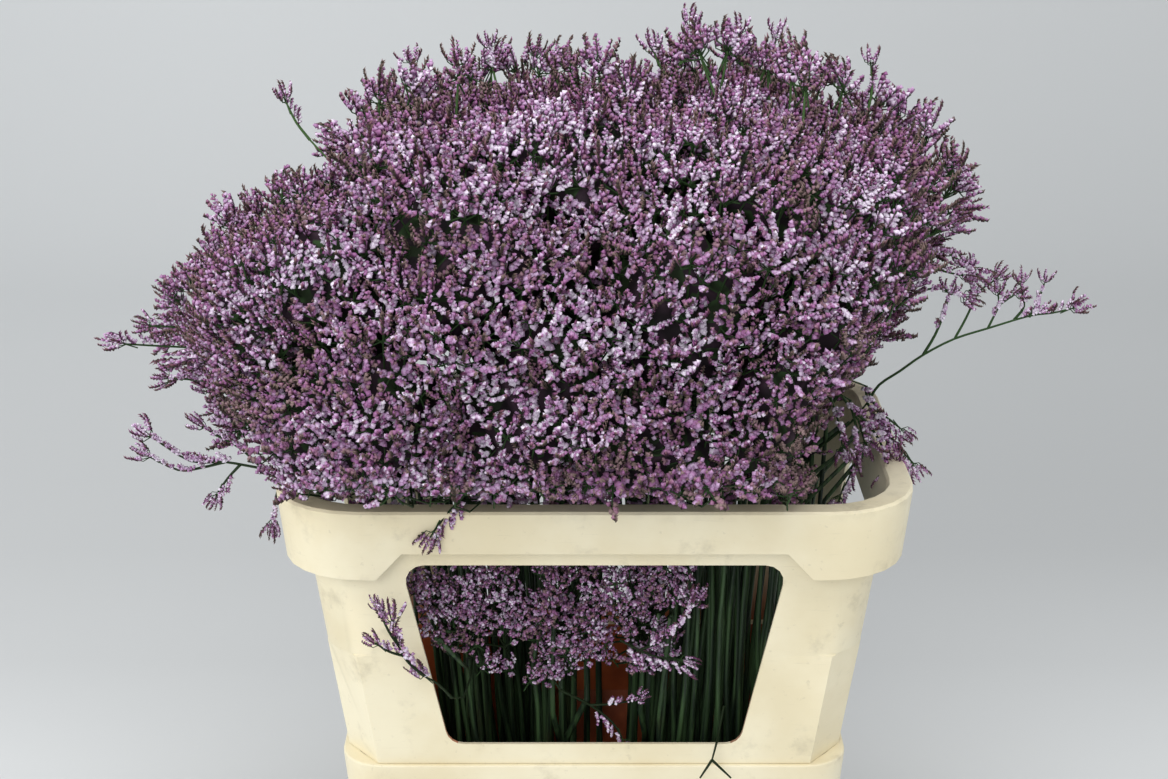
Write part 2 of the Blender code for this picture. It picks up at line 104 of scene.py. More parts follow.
def at_pixel(px, py, y):
    """The point seen at a pixel of the photograph, on the upright plane at this depth."""
    right, down = px - PHOTO_SIZE[0] / 2, py - PHOTO_SIZE[1] / 2
    ray = AHEAD * FOCAL_PIXELS + Vector((right, 0, 0)) - ABOVE * down
    return EYE + ray * ((y - EYE.y) / ray.y)


def pixel_of(point):
    """The pixel of the photograph at which a point is seen."""
    arm = Vector(point) - EYE
    scale = FOCAL_PIXELS / arm.dot(AHEAD)
    return PHOTO_SIZE[0] / 2 + arm.x * scale, PHOTO_SIZE[1] / 2 - arm.dot(ABOVE) * scale


def pixel_line(text):
    """Pixels that are written as one line of numbers, across and down by turns."""
    numbers = [int(number) for number in text.split()]
    return list(zip(numbers[::2], numbers[1::2]))


print("lens in mm:", round(camera_data.lens, 1), "rim's middle at pixel:", pixel_of((0, -0.17, 0.476)))

# %% [markdown]
# ## Helpers for objects
#
# Every finished piece sits at the origin with its place in its mesh. A piece that stands
# for a solid of the frame rides on the same body and hides that solid.


# %% Put pieces into the scene
def object_of(name, mesh, finish):
    """A new object in the scene, with its finish."""
    mesh.materials.append(finish)
    return linked(name, mesh)


def mesh_of(name, bm):
    """A mesh made from a bmesh, which is then freed."""
    mesh = bpy.data.meshes.new(name)
    bm.to_mesh(mesh)
    bm.free()
    return mesh


def applied(obj):
    """A mesh of what an object shows, with its modifiers or its bevel applied."""
    bpy.context.view_layer.update()
    return bpy.data.meshes.new_from_object(obj.evaluated_get(bpy.context.evaluated_depsgraph_get()))


def middle(points):
    return sum(points, Vector()) / len(points)


def drawn(draw, *ranges):
    """A vector with one random number from each range."""
    return Vector([draw.uniform(*ends) for ends in ranges])


def stand_for(obj, node):
    """Lets a piece ride on the frame in place of one of its solids."""
    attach(obj, "root")
    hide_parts(node)


# %% [markdown]
# ## Writing shader maths as arithmetic
#
# A material is a graph of nodes. Made by hand it is quick to draw and hard to read, so
# one small class wraps a socket and turns + and * into Math nodes. Every other node comes
# from one method, which takes the node's settings first and its inputs after that.


# %% Wrap a socket
class Value:
    """An output socket of a material's graph, so that masks can be added and multiplied."""

    def __init__(self, finish, socket):
        self.finish = finish
        self.socket = socket

    def maths(self, operation, *values):
        return self.finish.node("ShaderNodeMath", {"operation": operation}, dict(enumerate(values)))

    def __add__(self, other):
        return self.maths("ADD", self, other)

    def __mul__(self, other):
        return self.maths("MULTIPLY", self, other)

    def over(self, low, high):
        """0 below low, 1 above high and smooth between, or the other way round."""
        values = {"Value": self, "From Min": low, "From Max": high}
        return self.finish.node("ShaderNodeMapRange", {"interpolation_type": "SMOOTHSTEP"}, values)

    __radd__ = __add__


# %% Build materials
def paint(code):
    """A screen colour such as #e8dfc4 as the linear colour that a shader takes."""
    parts = [int(code[i : i + 2], 16) / 255 for i in (1, 3, 5)]
    return tuple(((p + 0.055) / 1.055) ** 2.4 if p > 0.04045 else p / 12.92 for p in parts) + (1.0,)


class Finish:
    """A material under construction."""

    def __init__(self, name):
        self.material = bpy.data.materials.new(name)
        self.material.use_nodes = True
        self.tree = self.material.node_tree
        self.shader = self.tree.nodes["Principled BSDF"]

    def node(self, kind, settings=None, values=None, output=0):
        """A node with its settings, then the values or links of its sockets."""
        made = self.tree.nodes.new(kind)
        for key, value in (settings or {}).items():
            if key == "stops":
                set_stops(made.color_ramp, value)
            else:
                setattr(made, key, value)
        for key, value in (values or {}).items():
            self.feed(made.inputs[key], value)
        return Value(self, made.outputs[output])

    def feed(self, socket, value):
        if isinstance(value, Value):
            self.tree.links.new(value.socket, socket)
        else:
            socket.default_value = value

    def surface(self, **values):
        for key, value in values.items():
            self.feed(self.shader.inputs[key.replace("_", " ").title().replace("Ior", "IOR")], value)
        return self.material

    def mix(self, first, second, share):
        """Two colours mixed by a share from 0 to 1."""
        values = {"Factor": share, 6: first, 7: second}
        return self.node("ShaderNodeMix", {"data_type": "RGBA"}, values, output=2)

    def axis(self, vector, number):
        """One coordinate of a vector: 0 is X, 1 is Y and 2 is Z."""
        return self.node("ShaderNodeSeparateXYZ", {}, {"Vector": vector}, number)

    def cloud(self, place, scale, detail=4.0, roughness=0.55):
        """Soft noise of a size: scale is in features per metre."""
        values = {"Vector": place, "Scale": scale, "Detail": detail, "Roughness": roughness}
        return self.node("ShaderNodeTexNoise", {}, values)

    def bump(self, strength, distance, height):
        values = {"Strength": strength, "Distance": distance, "Height": height}
        return self.node("ShaderNodeBump", {}, values)

    def place(self, stretch=(1, 1, 1)):
        """A point's place on the object, stretched or squeezed along the axes."""
        point = self.node("ShaderNodeTexCoord", {}, {}, output=3)
        return self.node("ShaderNodeMapping", {}, {"Vector": point, "Scale": stretch})


def set_stops(ramp, stops):
    while len(ramp.elements) < len(stops):
        ramp.elements.new(0.5)
    for element, (position, colour) in zip(ramp.elements, stops):
        element.position = position
        element.color = colour


# %% [markdown]
# ## The studio
#
# The photograph has a plain light grey backdrop without a corner. A sheet whose bend is
# rounded by a bevel gives that. Its paint holds painted shade: it gets a little darker and
# lighter again with the depth, and darker towards the right further back, because the
# photograph's backdrop does, which lamps alone would not give here.
# Large soft lamps stand above, in front and at the sides, because the flowers are lit
# from above and the container has hardly any shadow.

# %% Backdrop
FLOOR_FRONT, FLOOR_BACK, WALL_TOP, HALF_ROOM, BEND = -9.0, 3.8, 5.0, 4.8, 1.7


def make_backdrop():
    bm = bmesh.new()
    profile = ((FLOOR_FRONT, 0), (FLOOR_BACK, 0), (FLOOR_BACK, WALL_TOP))
    points = [bm.verts.new((-HALF_ROOM, y, z)) for y, z in profile]
    edges = [bm.edges.new(pair) for pair in zip(points, points[1:])]
    pushed = bmesh.ops.extrude_edge_only(bm, edges=edges)["geom"]
    moved = [v for v in pushed if isinstance(v, bmesh.types.BMVert)]
    bmesh.ops.translate(bm, verts=moved, vec=(2 * HALF_ROOM, 0, 0))
    at_fold = {v for v in bm.verts if abs(v.co.y - FLOOR_BACK) < 1e-6 and v.co.z < 1e-6}
    fold = [e for e in bm.edges if at_fold.issuperset(e.verts)]
    bmesh.ops.bevel(
        bm, geom=fold, offset=BEND, offset_type="OFFSET", segments=16, profile=0.5, affect="EDGES",
        material=-1,
    )
    for face in bm.faces:
        face.smooth = True
        if face.normal.dot(Vector((0, -1, 1))) < 0:
            face.normal_flip()
    return mesh_of("backdrop", bm)


PAPER_FRONT, PAPER_DEEP = -0.5, 4.0
# Painted shade: these greys make the paper darker and lighter again with the depth.
PAINTED_SHADE_GREYS = (
    (-0.5, 0.70), (0.33, 0.68), (0.57, 0.605), (0.9, 0.60), (1.15, 0.635), (1.7, 0.735), (2.4, 0.83),
    (3.3, 0.93),
)


def grey(level):
    """A hardly bluish grey of this reflectance."""
    return (0.978 * level, level, 1.008 * level, 1)


paper = Finish("backdrop_paper")
across, depth = (paper.axis(paper.place(), number) for number in (0, 1))
room = PAPER_DEEP - PAPER_FRONT
painted_shade_stops = [((y - PAPER_FRONT) / room, grey(level)) for y, level in PAINTED_SHADE_GREYS]
share = depth * (1 / room) + -PAPER_FRONT / room
painted_shade_tint = paper.node("ShaderNodeValToRGB", {"stops": painted_shade_stops}, {"Fac": share})
# Painted shade: the paper gets darker towards the right, further back.
painted_shade_far_right = across.over(-1.0, 0.9) * depth.over(0.45, 1.0) * 0.10
paper.surface(base_color=paper.mix(painted_shade_tint, grey(0), painted_shade_far_right), roughness=0.9, specular_ior_level=0.1)
backdrop = object_of("backdrop", make_backdrop(), paper.material)
print("backdrop faces:", len(backdrop.data.polygons))

# %% Soft lamps
LAMPS = (
    ("overhead", (0.0, -0.8, 2.6), (0.0, 0.0, 0.5), 1.8, 36),
    ("front", (-0.7, -2.6, 1.6), (0.0, 0.0, 0.45), 1.6, 30),
    ("left", (-2.3, -0.4, 1.3), (0.0, 0.0, 0.5), 1.4, 21),
    ("right", (2.3, -0.6, 1.3), (0.0, 0.0, 0.5), 1.4, 10),
)
for name, place, aim, width, watts in LAMPS:
    data = bpy.data.lights.new(name, "AREA")
    data.shape = "SQUARE"
    data.size = width
    data.energy = watts
    lamp = linked(name, data)
    lamp.location = place
    lamp.rotation_euler = (Vector(aim) - Vector(place)).to_track_quat("-Z", "Y").to_euler()

world = bpy.data.worlds.new("studio")
world.use_nodes = True
world.node_tree.nodes["Background"].inputs["Color"].default_value = paint("#e4e6e8")
world.node_tree.nodes["Background"].inputs["Strength"].default_value = 0.55
bpy.context.scene.world = world
bpy.context.scene.view_settings.view_transform = "Standard"
print("lamps:", [lamp[0] for lamp in LAMPS])

# %% [markdown]
# ## Cream plastic
#
# The container is moulded in cream polypropylene. Years of use leave grey dirt where hands
# and other containers rub, above all on the rim, and fine scratches on the walls. The
# pattern reads the object's own coordinates, so height can say where the rim is. Inside,
# the lower walls get a painted glow: an orange-brown that stands for light coming through
# the translucent plastic, so the faces that look inwards take a second finish.

# %% The plastic's finishes
RIM_Z = 0.476
# Painted glow: the heights where the inside's orange-brown begins and where it is full.
GLOW_TOP, GLOW_FULL = 0.33, 0.24


def plastic(name, glow_inside):
    """Cream plastic with dirt and scratches, and a painted orange-brown glow low down if it looks
    inwards.
    """
    finish = Finish(name)
    place = finish.place()
    height = finish.axis(place, 2)
    patches = finish.cloud(place, 9.0, 5.0)
    colour = finish.mix(paint("#e6dab8"), paint("#f0e7ca"), patches.over(0.35, 0.65))
    scratches = finish.cloud(finish.place((14, 14, 300)), 2.2, 6.0, 0.7).over(0.60, 0.74)
    specks = finish.cloud(place, 160.0, 3.0, 0.6).over(0.64, 0.76)
    smudges = finish.cloud(place, 26.0, 6.0, 0.62)
    on_rim = height.over(RIM_Z - 0.012, RIM_Z - 0.001)
    dirt = smudges.over(0.44, 0.66) * on_rim * 0.20 + smudges.over(0.56, 0.74) * 0.30
    dirt = dirt + scratches * 0.16 + specks * 0.18
    colour = finish.mix(colour, paint("#8a8068"), dirt)
    if glow_inside:
        # Painted glow: orange-brown low on inward faces stands for light through the plastic.
        painted_glow_mask = height.over(GLOW_TOP, GLOW_FULL)
        blotches = finish.cloud(place, 14.0, 4.0).over(0.35, 0.7)
        colour = finish.mix(colour, finish.mix(paint("#8a3c18"), paint("#cc6636"), blotches), painted_glow_mask)
    rough = 0.42 + dirt * 0.3 + patches * 0.08
    relief = finish.bump(0.12, 0.0006, smudges + scratches)
    return finish.surface(base_color=colour, roughness=rough, normal=relief, specular_ior_level=0.45)


cream = plastic("moulded_cream", glow_inside=False)
# The inside finish carries the painted orange-brown glow.
cream_inside_glow = plastic("moulded_cream_inside_painted_glow", glow_inside=True)
print("plastic nodes:", len(cream.node_tree.nodes), len(cream_inside_glow.node_tree.nodes))

# %% [markdown]
# ## The bucket and the collar
#
# The solids have the right shape, but they are loose triangles with hard edges. A copy of
# each gets its doubles merged and its flat areas dissolved, so that a Bevel modifier can
# round the edges as a mould does.


# %% Copy and soften a solid
EDGE_ROUND = 0.0009


def merged_solid(node):
    """A copy of a solid whose triangles are joined into one skin."""
    bm = bmesh.new()
    bm.from_mesh(NODES[node].data)
    bmesh.ops.remove_doubles(bm, verts=bm.verts, dist=1e-5)
    bmesh.ops.dissolve_limit(bm, angle_limit=math.radians(0.6), verts=bm.verts, edges=bm.edges)
    return bm


def looks_inward(polygon):
    """True for a face that looks towards the container's middle."""
    centre, normal = polygon.center, polygon.normal
    is_floor = normal.z > 0.9 and centre.z < 0.1
    return normal.x * centre.x + normal.y * centre.y * 1.5 < -0.02 or is_floor


def container_piece(node):
    piece = object_of(f"{node}_moulded", mesh_of(f"{node}_moulded", merged_solid(node)), cream)
    piece.data.materials.append(cream_inside_glow)
    for polygon in piece.data.polygons:
        polygon.material_index = 1 if looks_inward(polygon) else 0
    stand_for(piece, node)
    return piece


bucket = container_piece("bucket")
collar = container_piece("collar")
print("collar faces:", len(collar.data.polygons), "bucket faces:", len(bucket.data.polygons))

# %% [markdown]
# Small oblong drain slots run along the top of the rim, in pairs over the windows and one
# at each corner. Each is a shallow pocket: a Boolean takes away a short bar whose ends are
# rounded, and the pocket keeps the bar's own finish, a painted orange-brown glow of light
# through the plastic with painted shade.

# %% Drain slots in the rim
SLOT = (0.0085, 0.0030, 0.0044)
SLOT_PAIR = 0.0062
RIM_MIDDLE, RIM_CORNER = (0.2342, 0.1610), (0.2165, 0.1430)


def slot_places():
    """Each slot's place and its turn in degrees."""
    places = []
    for side in (-1, 1):
        for x in (-0.173, -0.0865, 0.0, 0.0865, 0.173):
            places += [(x + off, side * RIM_MIDDLE[1], 0) for off in (-SLOT_PAIR, SLOT_PAIR)]
        for y in (-0.07, 0.0, 0.07):
            places += [(side * RIM_MIDDLE[0], y + off, 90) for off in (-SLOT_PAIR, SLOT_PAIR)]
        for front in (-1, 1):
            places.append((side * RIM_CORNER[0], front * RIM_CORNER[1], -45 * side * front))
    return places


def slot_bars():
    bm = bmesh.new()
    for x, y, turn in slot_places():
        bar = bmesh.ops.create_cube(bm, size=1)["verts"]
        bmesh.ops.scale(bm, verts=bar, vec=SLOT)
        upright = {e for v in bar for e in v.link_edges if abs(e.verts[0].co.z - e.verts[1].co.z) > 1e-4}
        bmesh.ops.bevel(
            bm, geom=list(upright), offset=SLOT[1] * 0.48, segments=3, profile=0.5, affect="EDGES",
            material=-1,
        )
        bar = [v for v in bm.verts if not v.tag]
        turned = Matrix.Rotation(math.radians(turn), 3, "Z")
        bmesh.ops.rotate(bm, verts=bar, cent=(0, 0, 0), matrix=turned)
        bmesh.ops.translate(bm, verts=bar, vec=(x, y, RIM_Z))
        for vert in bar:
            vert.tag = True
    return mesh_of("slot_bars", bm)


pocket = Finish("slot_painted_glow_and_shade")
# Painted glow and shade: orange-brown for light through the plastic, dark as in a shaded pocket.
shade = pocket.mix(paint("#8a4316"), paint("#b5622a"), pocket.cloud(pocket.place(), 220.0))
pocket.surface(base_color=shade, roughness=0.6)
bars = object_of("slot_bars", slot_bars(), pocket.material)
cut = collar.modifiers.new("slots", "BOOLEAN")
cut.operation, cut.solver, cut.material_mode, cut.object = "DIFFERENCE", "EXACT", "TRANSFER", bars
slotted = applied(collar)
collar.modifiers.clear()
collar.data = slotted
bpy.data.objects.remove(bars, do_unlink=True)
print("slots:", len(slot_places()), "collar faces now:", len(slotted.polygons))

# %% [markdown]
# A moulded edge is never sharp. The Bevel modifier rounds only the edges that turn by
# more than 40 degrees, and its hardened normals keep the flat walls flat in the light.

# %% Round the edges and shade them smooth
for piece in (bucket, collar):
    piece.data.shade_smooth()
    piece.data.set_sharp_from_angle(angle=math.radians(32))
    rounded = piece.modifiers.new("rounded", "BEVEL")
    rounded.width = EDGE_ROUND
    rounded.segments = 2
    rounded.limit_method = "ANGLE"
    rounded.angle_limit = math.radians(40)
    rounded.harden_normals = True
    rounded.use_clamp_overlap = True
print("rounding in mm:", EDGE_ROUND * 1000)

# %% [markdown]
# ## One palette for the flowers
#
# A floret goes from a dark bract at its foot, through a magenta calyx, to a pale lilac
# crown, and some are still closed buds. A palette holds all of that: across it runs the
# tone, from stem green and deep shade through buds to open florets, and up it runs the
# place along the floret. Each floret's UV picks its tone, so a whole mass of flowers
# takes one material, and its colour depends on the UV alone.

# %% The palette material
STEM_TONE, SHADE_TONE, BUD_TONE, OPEN_TONE = 0.05, 0.14, 0.24, 0.97
UV_NAME = "OFBake"


def flower_palette():
    finish = Finish("flower_palette")
    uv = finish.node("ShaderNodeUVMap", {"uv_map": UV_NAME})
    tone, along = finish.axis(uv, 0), finish.axis(uv, 1)

    def ramp(colours):
        positions = (0.0, 0.095, 0.105, 0.175, 0.2, 0.36, 0.55, 0.75, 1.0)
        stops = [(position, paint(colour)) for position, colour in zip(positions, colours.split())]
        return finish.node("ShaderNodeValToRGB", {"stops": stops}, {"Fac": tone})

    foot = ramp("#18260f #18260f #150d12 #150d12 #37362a #4a2f38 #4f2547 #6c3c60 #8c5c80")
    belly = ramp("#2f4a26 #2f4a26 #281a24 #281a24 #665c4e #7b505e #7a4172 #a8749f #d2b5d6")
    crown = ramp("#4a6a3a #4a6a3a #382632 #382632 #84746c #957080 #a26a9b #ccabd0 #f3ecf8")
    colour = finish.mix(foot, belly, along.over(0.0, 0.5))
    colour = finish.mix(colour, crown, along.over(0.5, 0.95))
    return finish.surface(base_color=colour, roughness=0.72, specular_ior_level=0.25)


palette = flower_palette()
print("palette nodes:", len(palette.node_tree.nodes))

# %% [markdown]
# ## Florets, spikes and hands
#
# Statice repeats itself. Florets sit in two rows along the upper side of a short spike,
# and five to eight spikes spread from a forked twig into a flat-topped hand. A floret is
# a funnel of three or four sides that stands on its point. Spikes are made of florets and
# hands of spikes, once each in a few variants, and those few are repeated.

# %% One floret
def floret(sides, foot, crown, length):
    """A floret that stands on the origin: a small funnel, or a bud that narrows to its tip."""
    bm = bmesh.new()
    bmesh.ops.create_cone(
        bm, cap_ends=True, segments=sides, radius1=foot, radius2=crown, depth=length,
        matrix=Matrix.Translation((0, 0, length / 2)),
    )
    uv = bm.loops.layers.uv.new(UV_NAME)
    for face in bm.faces:
        face.smooth = True
        for loop in face.loops:
            loop[uv].uv = (0.5, loop.vert.co.z / length)
    return mesh_of("floret", bm)


OPEN_FLORETS = [floret(4, 0, 0.0020, 0.0044), floret(4, 0, 0.0023, 0.0040)]
HALF_OPEN = [floret(3, 0, 0.0017, 0.0056), floret(3, 0, 0.0019, 0.0049)]
BUDS = [floret(3, 0.0014, 0, 0.0058), floret(3, 0.0016, 0, 0.0050)]
print("faces of a floret:", [len(mesh.polygons) for mesh in OPEN_FLORETS + HALF_OPEN + BUDS])


# %% A thin twig with a few sides
STEM_UV = (-1.0, 0.5)


def add_twig(bm, uv, points, radii, sides=3):
    """Extrudes a small ring along a few points. It is painted as stem in the palette."""
    rings = []
    for i, point in enumerate(points):
        ahead = points[min(i + 1, len(points) - 1)] - points[max(i - 1, 0)]
        matrix = Matrix.Translation(point) @ ahead.to_track_quat("Z", "Y").to_matrix().to_4x4()
        ring = bmesh.ops.create_circle(bm, segments=sides, radius=radii[i], matrix=matrix)
        rings.append(ring["verts"])
    for pair in zip(rings, rings[1:]):
        ends = {e for ring in pair for v in ring for e in v.link_edges if set(e.verts) <= set(ring)}
        for face in bmesh.ops.bridge_loops(bm, edges=list(ends))["faces"]:
            face.smooth = True
            for loop in face.loops:
                loop[uv].uv = STEM_UV


# %% A spike of florets
SPIKE_BEND = 0.35


def add_copy(bm, mesh, matrix, shift):
    """Adds a transformed copy of a small mesh, with its tone shifted."""
    known = len(bm.verts)
    bm.from_mesh(mesh)
    bm.verts.ensure_lookup_table()
    fresh = bm.verts[known:]
    bmesh.ops.transform(bm, matrix=matrix, verts=fresh)
    uv = bm.loops.layers.uv[UV_NAME]
    for face in {face for vert in fresh for face in vert.link_faces}:
        for loop in face.loops:
            if loop[uv].uv.x >= 0:
                loop[uv].uv.x = min(max(loop[uv].uv.x + shift, 0), 1)


def aimed(place, way, roll, scale):
    turn = way.to_track_quat("Z", "Y").to_matrix().to_4x4()
    return Matrix.Translation(place) @ turn @ Matrix.Rotation(roll, 4, "Z") @ Matrix.Scale(scale, 4)


def spike(draw, length, florets, openness):
    """A spike that starts at the origin along +X and bends up, with its florets on the upper side."""
    bm = bmesh.new()
    uv = bm.loops.layers.uv.new(UV_NAME)
    add_twig(bm, uv, [Vector((0, 0, 0)), Vector((length, 0, length * SPIKE_BEND))], (0.0006, 0.0004))
    for i in range(florets):
        share = 0.08 + 0.92 * (i + draw.uniform(-0.2, 0.2)) / (florets - 1)
        place = Vector((length * share, 0, length * SPIKE_BEND * share * share))
        ahead = Vector((1, 0, 2 * SPIKE_BEND * share)).normalized()
        upper = Vector((-ahead.z, 0, ahead.x))
        side = (-1, 0.2, 1)[i % 3] * draw.uniform(0.3, 0.9)
        lean = 0.45 + 0.9 * share
        way = (ahead * lean + upper + Vector((0, side, 0))).normalized()
        stage = draw.random() + 0.9 * share - openness
        if stage < 0.15:
            shape, shift = draw.choice(OPEN_FLORETS), draw.uniform(0.22, 0.48)
        elif stage < 0.75:
            shape, shift = draw.choice(HALF_OPEN), draw.uniform(-0.10, 0.20)
        else:
            shape, shift = draw.choice(BUDS), draw.uniform(-0.45, -0.15)
        size = draw.uniform(0.8, 1.15) * (1 - 0.2 * share)
        add_copy(bm, shape, aimed(place, way, draw.uniform(0, 6), size), shift)
    return mesh_of("spike", bm)


draw = random.Random(7)
FULL_SPIKES = [spike(draw, 0.0125, 12, 0.85) for _ in range(5)]
SHY_SPIKES = [spike(draw, 0.0165, 14, 0.20) for _ in range(4)]
SHORT_SPIKES = [spike(draw, 0.0115, 9, 0.65) for _ in range(4)]
SPIKES = FULL_SPIKES + SHY_SPIKES + SHORT_SPIKES
print("triangles of a spike:", [sum(len(p.vertices) - 2 for p in mesh.polygons) for mesh in SPIKES])

# %% A hand of spikes
HAND_FORK = -0.013


def hand(draw, spikes, kinds, spread, steep):
    """A flat-topped hand: its twig comes up from -Z, forks, and its spikes end round the origin."""
    bm = bmesh.new()
    uv = bm.loops.layers.uv.new(UV_NAME)
    fork = Vector((0, 0, HAND_FORK))
    top = Vector((0, 0, -0.004))
    add_twig(bm, uv, [fork - Vector((0, 0, 0.012)), fork, top], (0.0008, 0.0007, 0.0005))
    for k in range(spikes):
        edge = math.sqrt((k + 0.3) / spikes)
        turn = k * 2.4 + draw.uniform(-0.3, 0.3)
        out = Vector((math.cos(turn), math.sin(turn), 0))
        height = -0.005 - 0.004 * edge + draw.uniform(-0.0015, 0.0025)
        base = out * edge * spread + Vector((0, 0, height))
        start = fork.lerp(top, draw.uniform(0.0, 0.6))
        add_twig(bm, uv, [start, base], (0.0006, 0.0005))
        tilt = math.radians(steep + 30 * (1 - edge) + draw.uniform(-16, 16))
        frame_x = (out * math.cos(tilt) + Vector((0, 0, math.sin(tilt)))).normalized()
        frame_z = (Vector((0, 0, 1)) - frame_x * frame_x.z - out * 0.001).normalized()
        turn_in = Matrix((frame_x, frame_z.cross(frame_x), frame_z)).transposed().to_4x4()
        matrix = Matrix.Translation(base) @ turn_in @ Matrix.Scale(draw.uniform(0.8, 1.1), 4)
        add_copy(bm, draw.choice(kinds), matrix, draw.uniform(-0.08, 0.08))
    bmesh.ops.triangulate(bm, faces=bm.faces)
    return mesh_of("hand", bm)


DENSE_HANDS = [hand(draw, 8, FULL_SPIKES * 3 + SHY_SPIKES, 0.0105, 36) for _ in range(6)]
FORKED_HANDS = [hand(draw, 7, SHY_SPIKES * 3 + FULL_SPIKES, 0.0090, 40) for _ in range(4)]
SMALL_HANDS = [hand(draw, 7, SHORT_SPIKES, 0.0095, 34) for _ in range(4)]
HANDS = DENSE_HANDS + FORKED_HANDS + SMALL_HANDS
print("triangles of a hand:", [len(mesh.polygons) for mesh in HANDS])

# %% [markdown]
# ## Repeating hands quickly
#
# More than a thousand hands are needed. Adding them one by one to a bmesh is slow, so the
# corners, triangles and palette places of each variant are kept as arrays, and a heap
# collects transformed copies of them until a spray is full.


# %% Arrays of a small mesh
def array_of(items, field, width, kind=np.float32):
    """One field of a mesh's vertices, corners or faces as rows of numbers."""
    values = np.empty(len(items) * width, kind)
    items.foreach_get(field, values)
    return values.reshape(-1, width)


class Stamp:
    """A small triangle mesh as arrays."""

    def __init__(self, mesh):
        self.points = array_of(mesh.vertices, "co", 3)
        self.corners = array_of(mesh.polygons, "vertices", 3, np.int32).ravel()
        self.uv = array_of(mesh.uv_layers[UV_NAME].uv, "vector", 2)


class Heap:
    """Collects copies of stamps and becomes one mesh."""

    def __init__(self):
        self.points, self.corners, self.uv, self.count = [], [], [], 0

    def add(self, stamp, matrix, tone=0.5, spread=0.9):
        """Adds a copy. Florets take this tone, shifted by their own, and stems stay green."""
        turn = np.array(matrix.to_3x3(), np.float32)
        self.points.append(stamp.points @ turn.T + np.array(matrix.translation, np.float32))
        self.corners.append(stamp.corners + self.count)
        self.count += len(stamp.points)
        picked = np.clip(tone + (stamp.uv[:, 0] - 0.5) * spread, BUD_TONE, OPEN_TONE)
        uv = stamp.uv.copy()
        uv[:, 0] = np.where(stamp.uv[:, 0] < 0, STEM_TONE, picked)
        self.uv.append(uv)

    def add_plain(self, points, corners, tones, along):
        """Adds triangles whose corners have their own places on the palette."""
        self.points.append(np.asarray(points, np.float32))
        self.corners.append(np.asarray(corners, np.int32).reshape(-1) + self.count)
        self.count += len(points)
        self.uv.append(np.stack([tones, along], 1).astype(np.float32))

    def mesh(self, name):
        points, corners = np.concatenate(self.points), np.concatenate(self.corners)
        made = bpy.data.meshes.new(name)
        made.vertices.add(len(points))
        made.vertices.foreach_set("co", points.ravel())
        made.loops.add(len(corners))
        made.loops.foreach_set("vertex_index", corners)
        made.polygons.add(len(corners) // 3)
        made.polygons.foreach_set("loop_start", np.arange(0, len(corners), 3))
        made.uv_layers.new(name=UV_NAME).uv.foreach_set("vector", np.concatenate(self.uv).ravel())
        made.update(calc_edges=True)
        made.validate()
        made.shade_smooth()
        return made


for mesh in SPIKES:
    loose = bmesh.new()
    loose.from_mesh(mesh)
    bmesh.ops.triangulate(loose, faces=loose.faces)
    loose.to_mesh(mesh)
    loose.free()
FULL, SHY, SHORT, DENSE, FORKED, SMALL = (
    [Stamp(mesh) for mesh in meshes]
    for meshes in (FULL_SPIKES, SHY_SPIKES, SHORT_SPIKES, DENSE_HANDS, FORKED_HANDS, SMALL_HANDS)
)
print("corners of a dense hand:", len(DENSE[0].points))

# %% [markdown]
# ## Where the hands go
#
# Together the sprays make a rounded dome on the collar's mouth. Points are thrown at the
# dome's skin and kept only where no earlier one is near, which spaces them evenly without
# rows. Each point belongs to the nearest spray of the frame, and its hand leans outwards
# and up. Nothing may sink into the collar, so low points keep above a rising line. A
# point that would be seen outside the photograph's outline is pulled in until it is not.

# %% The dome's skin
DOME_CENTRE = Vector((-0.012, 0.0, 0.505))
DOME_HALF = Vector((0.325, 0.245, 0.285))
DOME_POWER = 3.0
DOME_BELOW = 0.30
LUMPS = 0.21
SKIN_SHARE, INNER_SHARE, CORE_SHARE = 0.915, 0.80, 0.66
OVERHANG_RISE = (0.60, 0.42)
MOUTH = (0.222, 0.150)


def dome_reach(way):
    half = Vector((DOME_HALF.x, DOME_HALF.y, DOME_BELOW if way.z < 0 else DOME_HALF.z))
    return sum(abs(way[i] / half[i]) ** DOME_POWER for i in range(3)) ** (-1 / DOME_POWER)


def dome_normal(arm):
    """The way that the dome's skin faces at a point, from the dome's centre."""
    half = (DOME_HALF.x, DOME_HALF.y, DOME_BELOW if arm.z < 0 else DOME_HALF.z)
    steep = [abs(arm[i] / half[i]) ** (DOME_POWER - 1) for i in range(3)]
    return Vector([math.copysign(steep[i], arm[i]) / half[i] for i in range(3)]).normalized()


def skin_reach(way, share):
    """How far the hands' skin lies from the dome's centre, with its lumps."""
    lump = noise.noise(way * 3.1 + Vector((4.2, 1.7, 0.3))) + 0.6 * noise.noise(way * 7.3)
    return dome_reach(way) * (share + LUMPS * 0.5 * lump)


def lowest_at(point):
    """How low flowers may hang at a place: just over the rim, and higher further out."""
    beyond_x, beyond_y = max(abs(point.x) - MOUTH[0], 0), max(abs(point.y) - MOUTH[1], 0)
    return RIM_Z + OVERHANG_RISE[0] * beyond_x + OVERHANG_RISE[1] * beyond_y


# %% Scatter points evenly
class Scatter:
    """Keeps points that are at least a gap apart."""

    def __init__(self):
        self.kept = []
        self.cells = {}

    def add(self, point, gap):
        key = tuple(math.floor(c / CELL) for c in point)
        for x in (-1, 0, 1):
            for y in (-1, 0, 1):
                for z in (-1, 0, 1):
                    for other in self.cells.get((key[0] + x, key[1] + y, key[2] + z), ()):
                        if (other - point).length < gap:
                            return False
        self.cells.setdefault(key, []).append(point)
        self.kept.append(point)
        return True


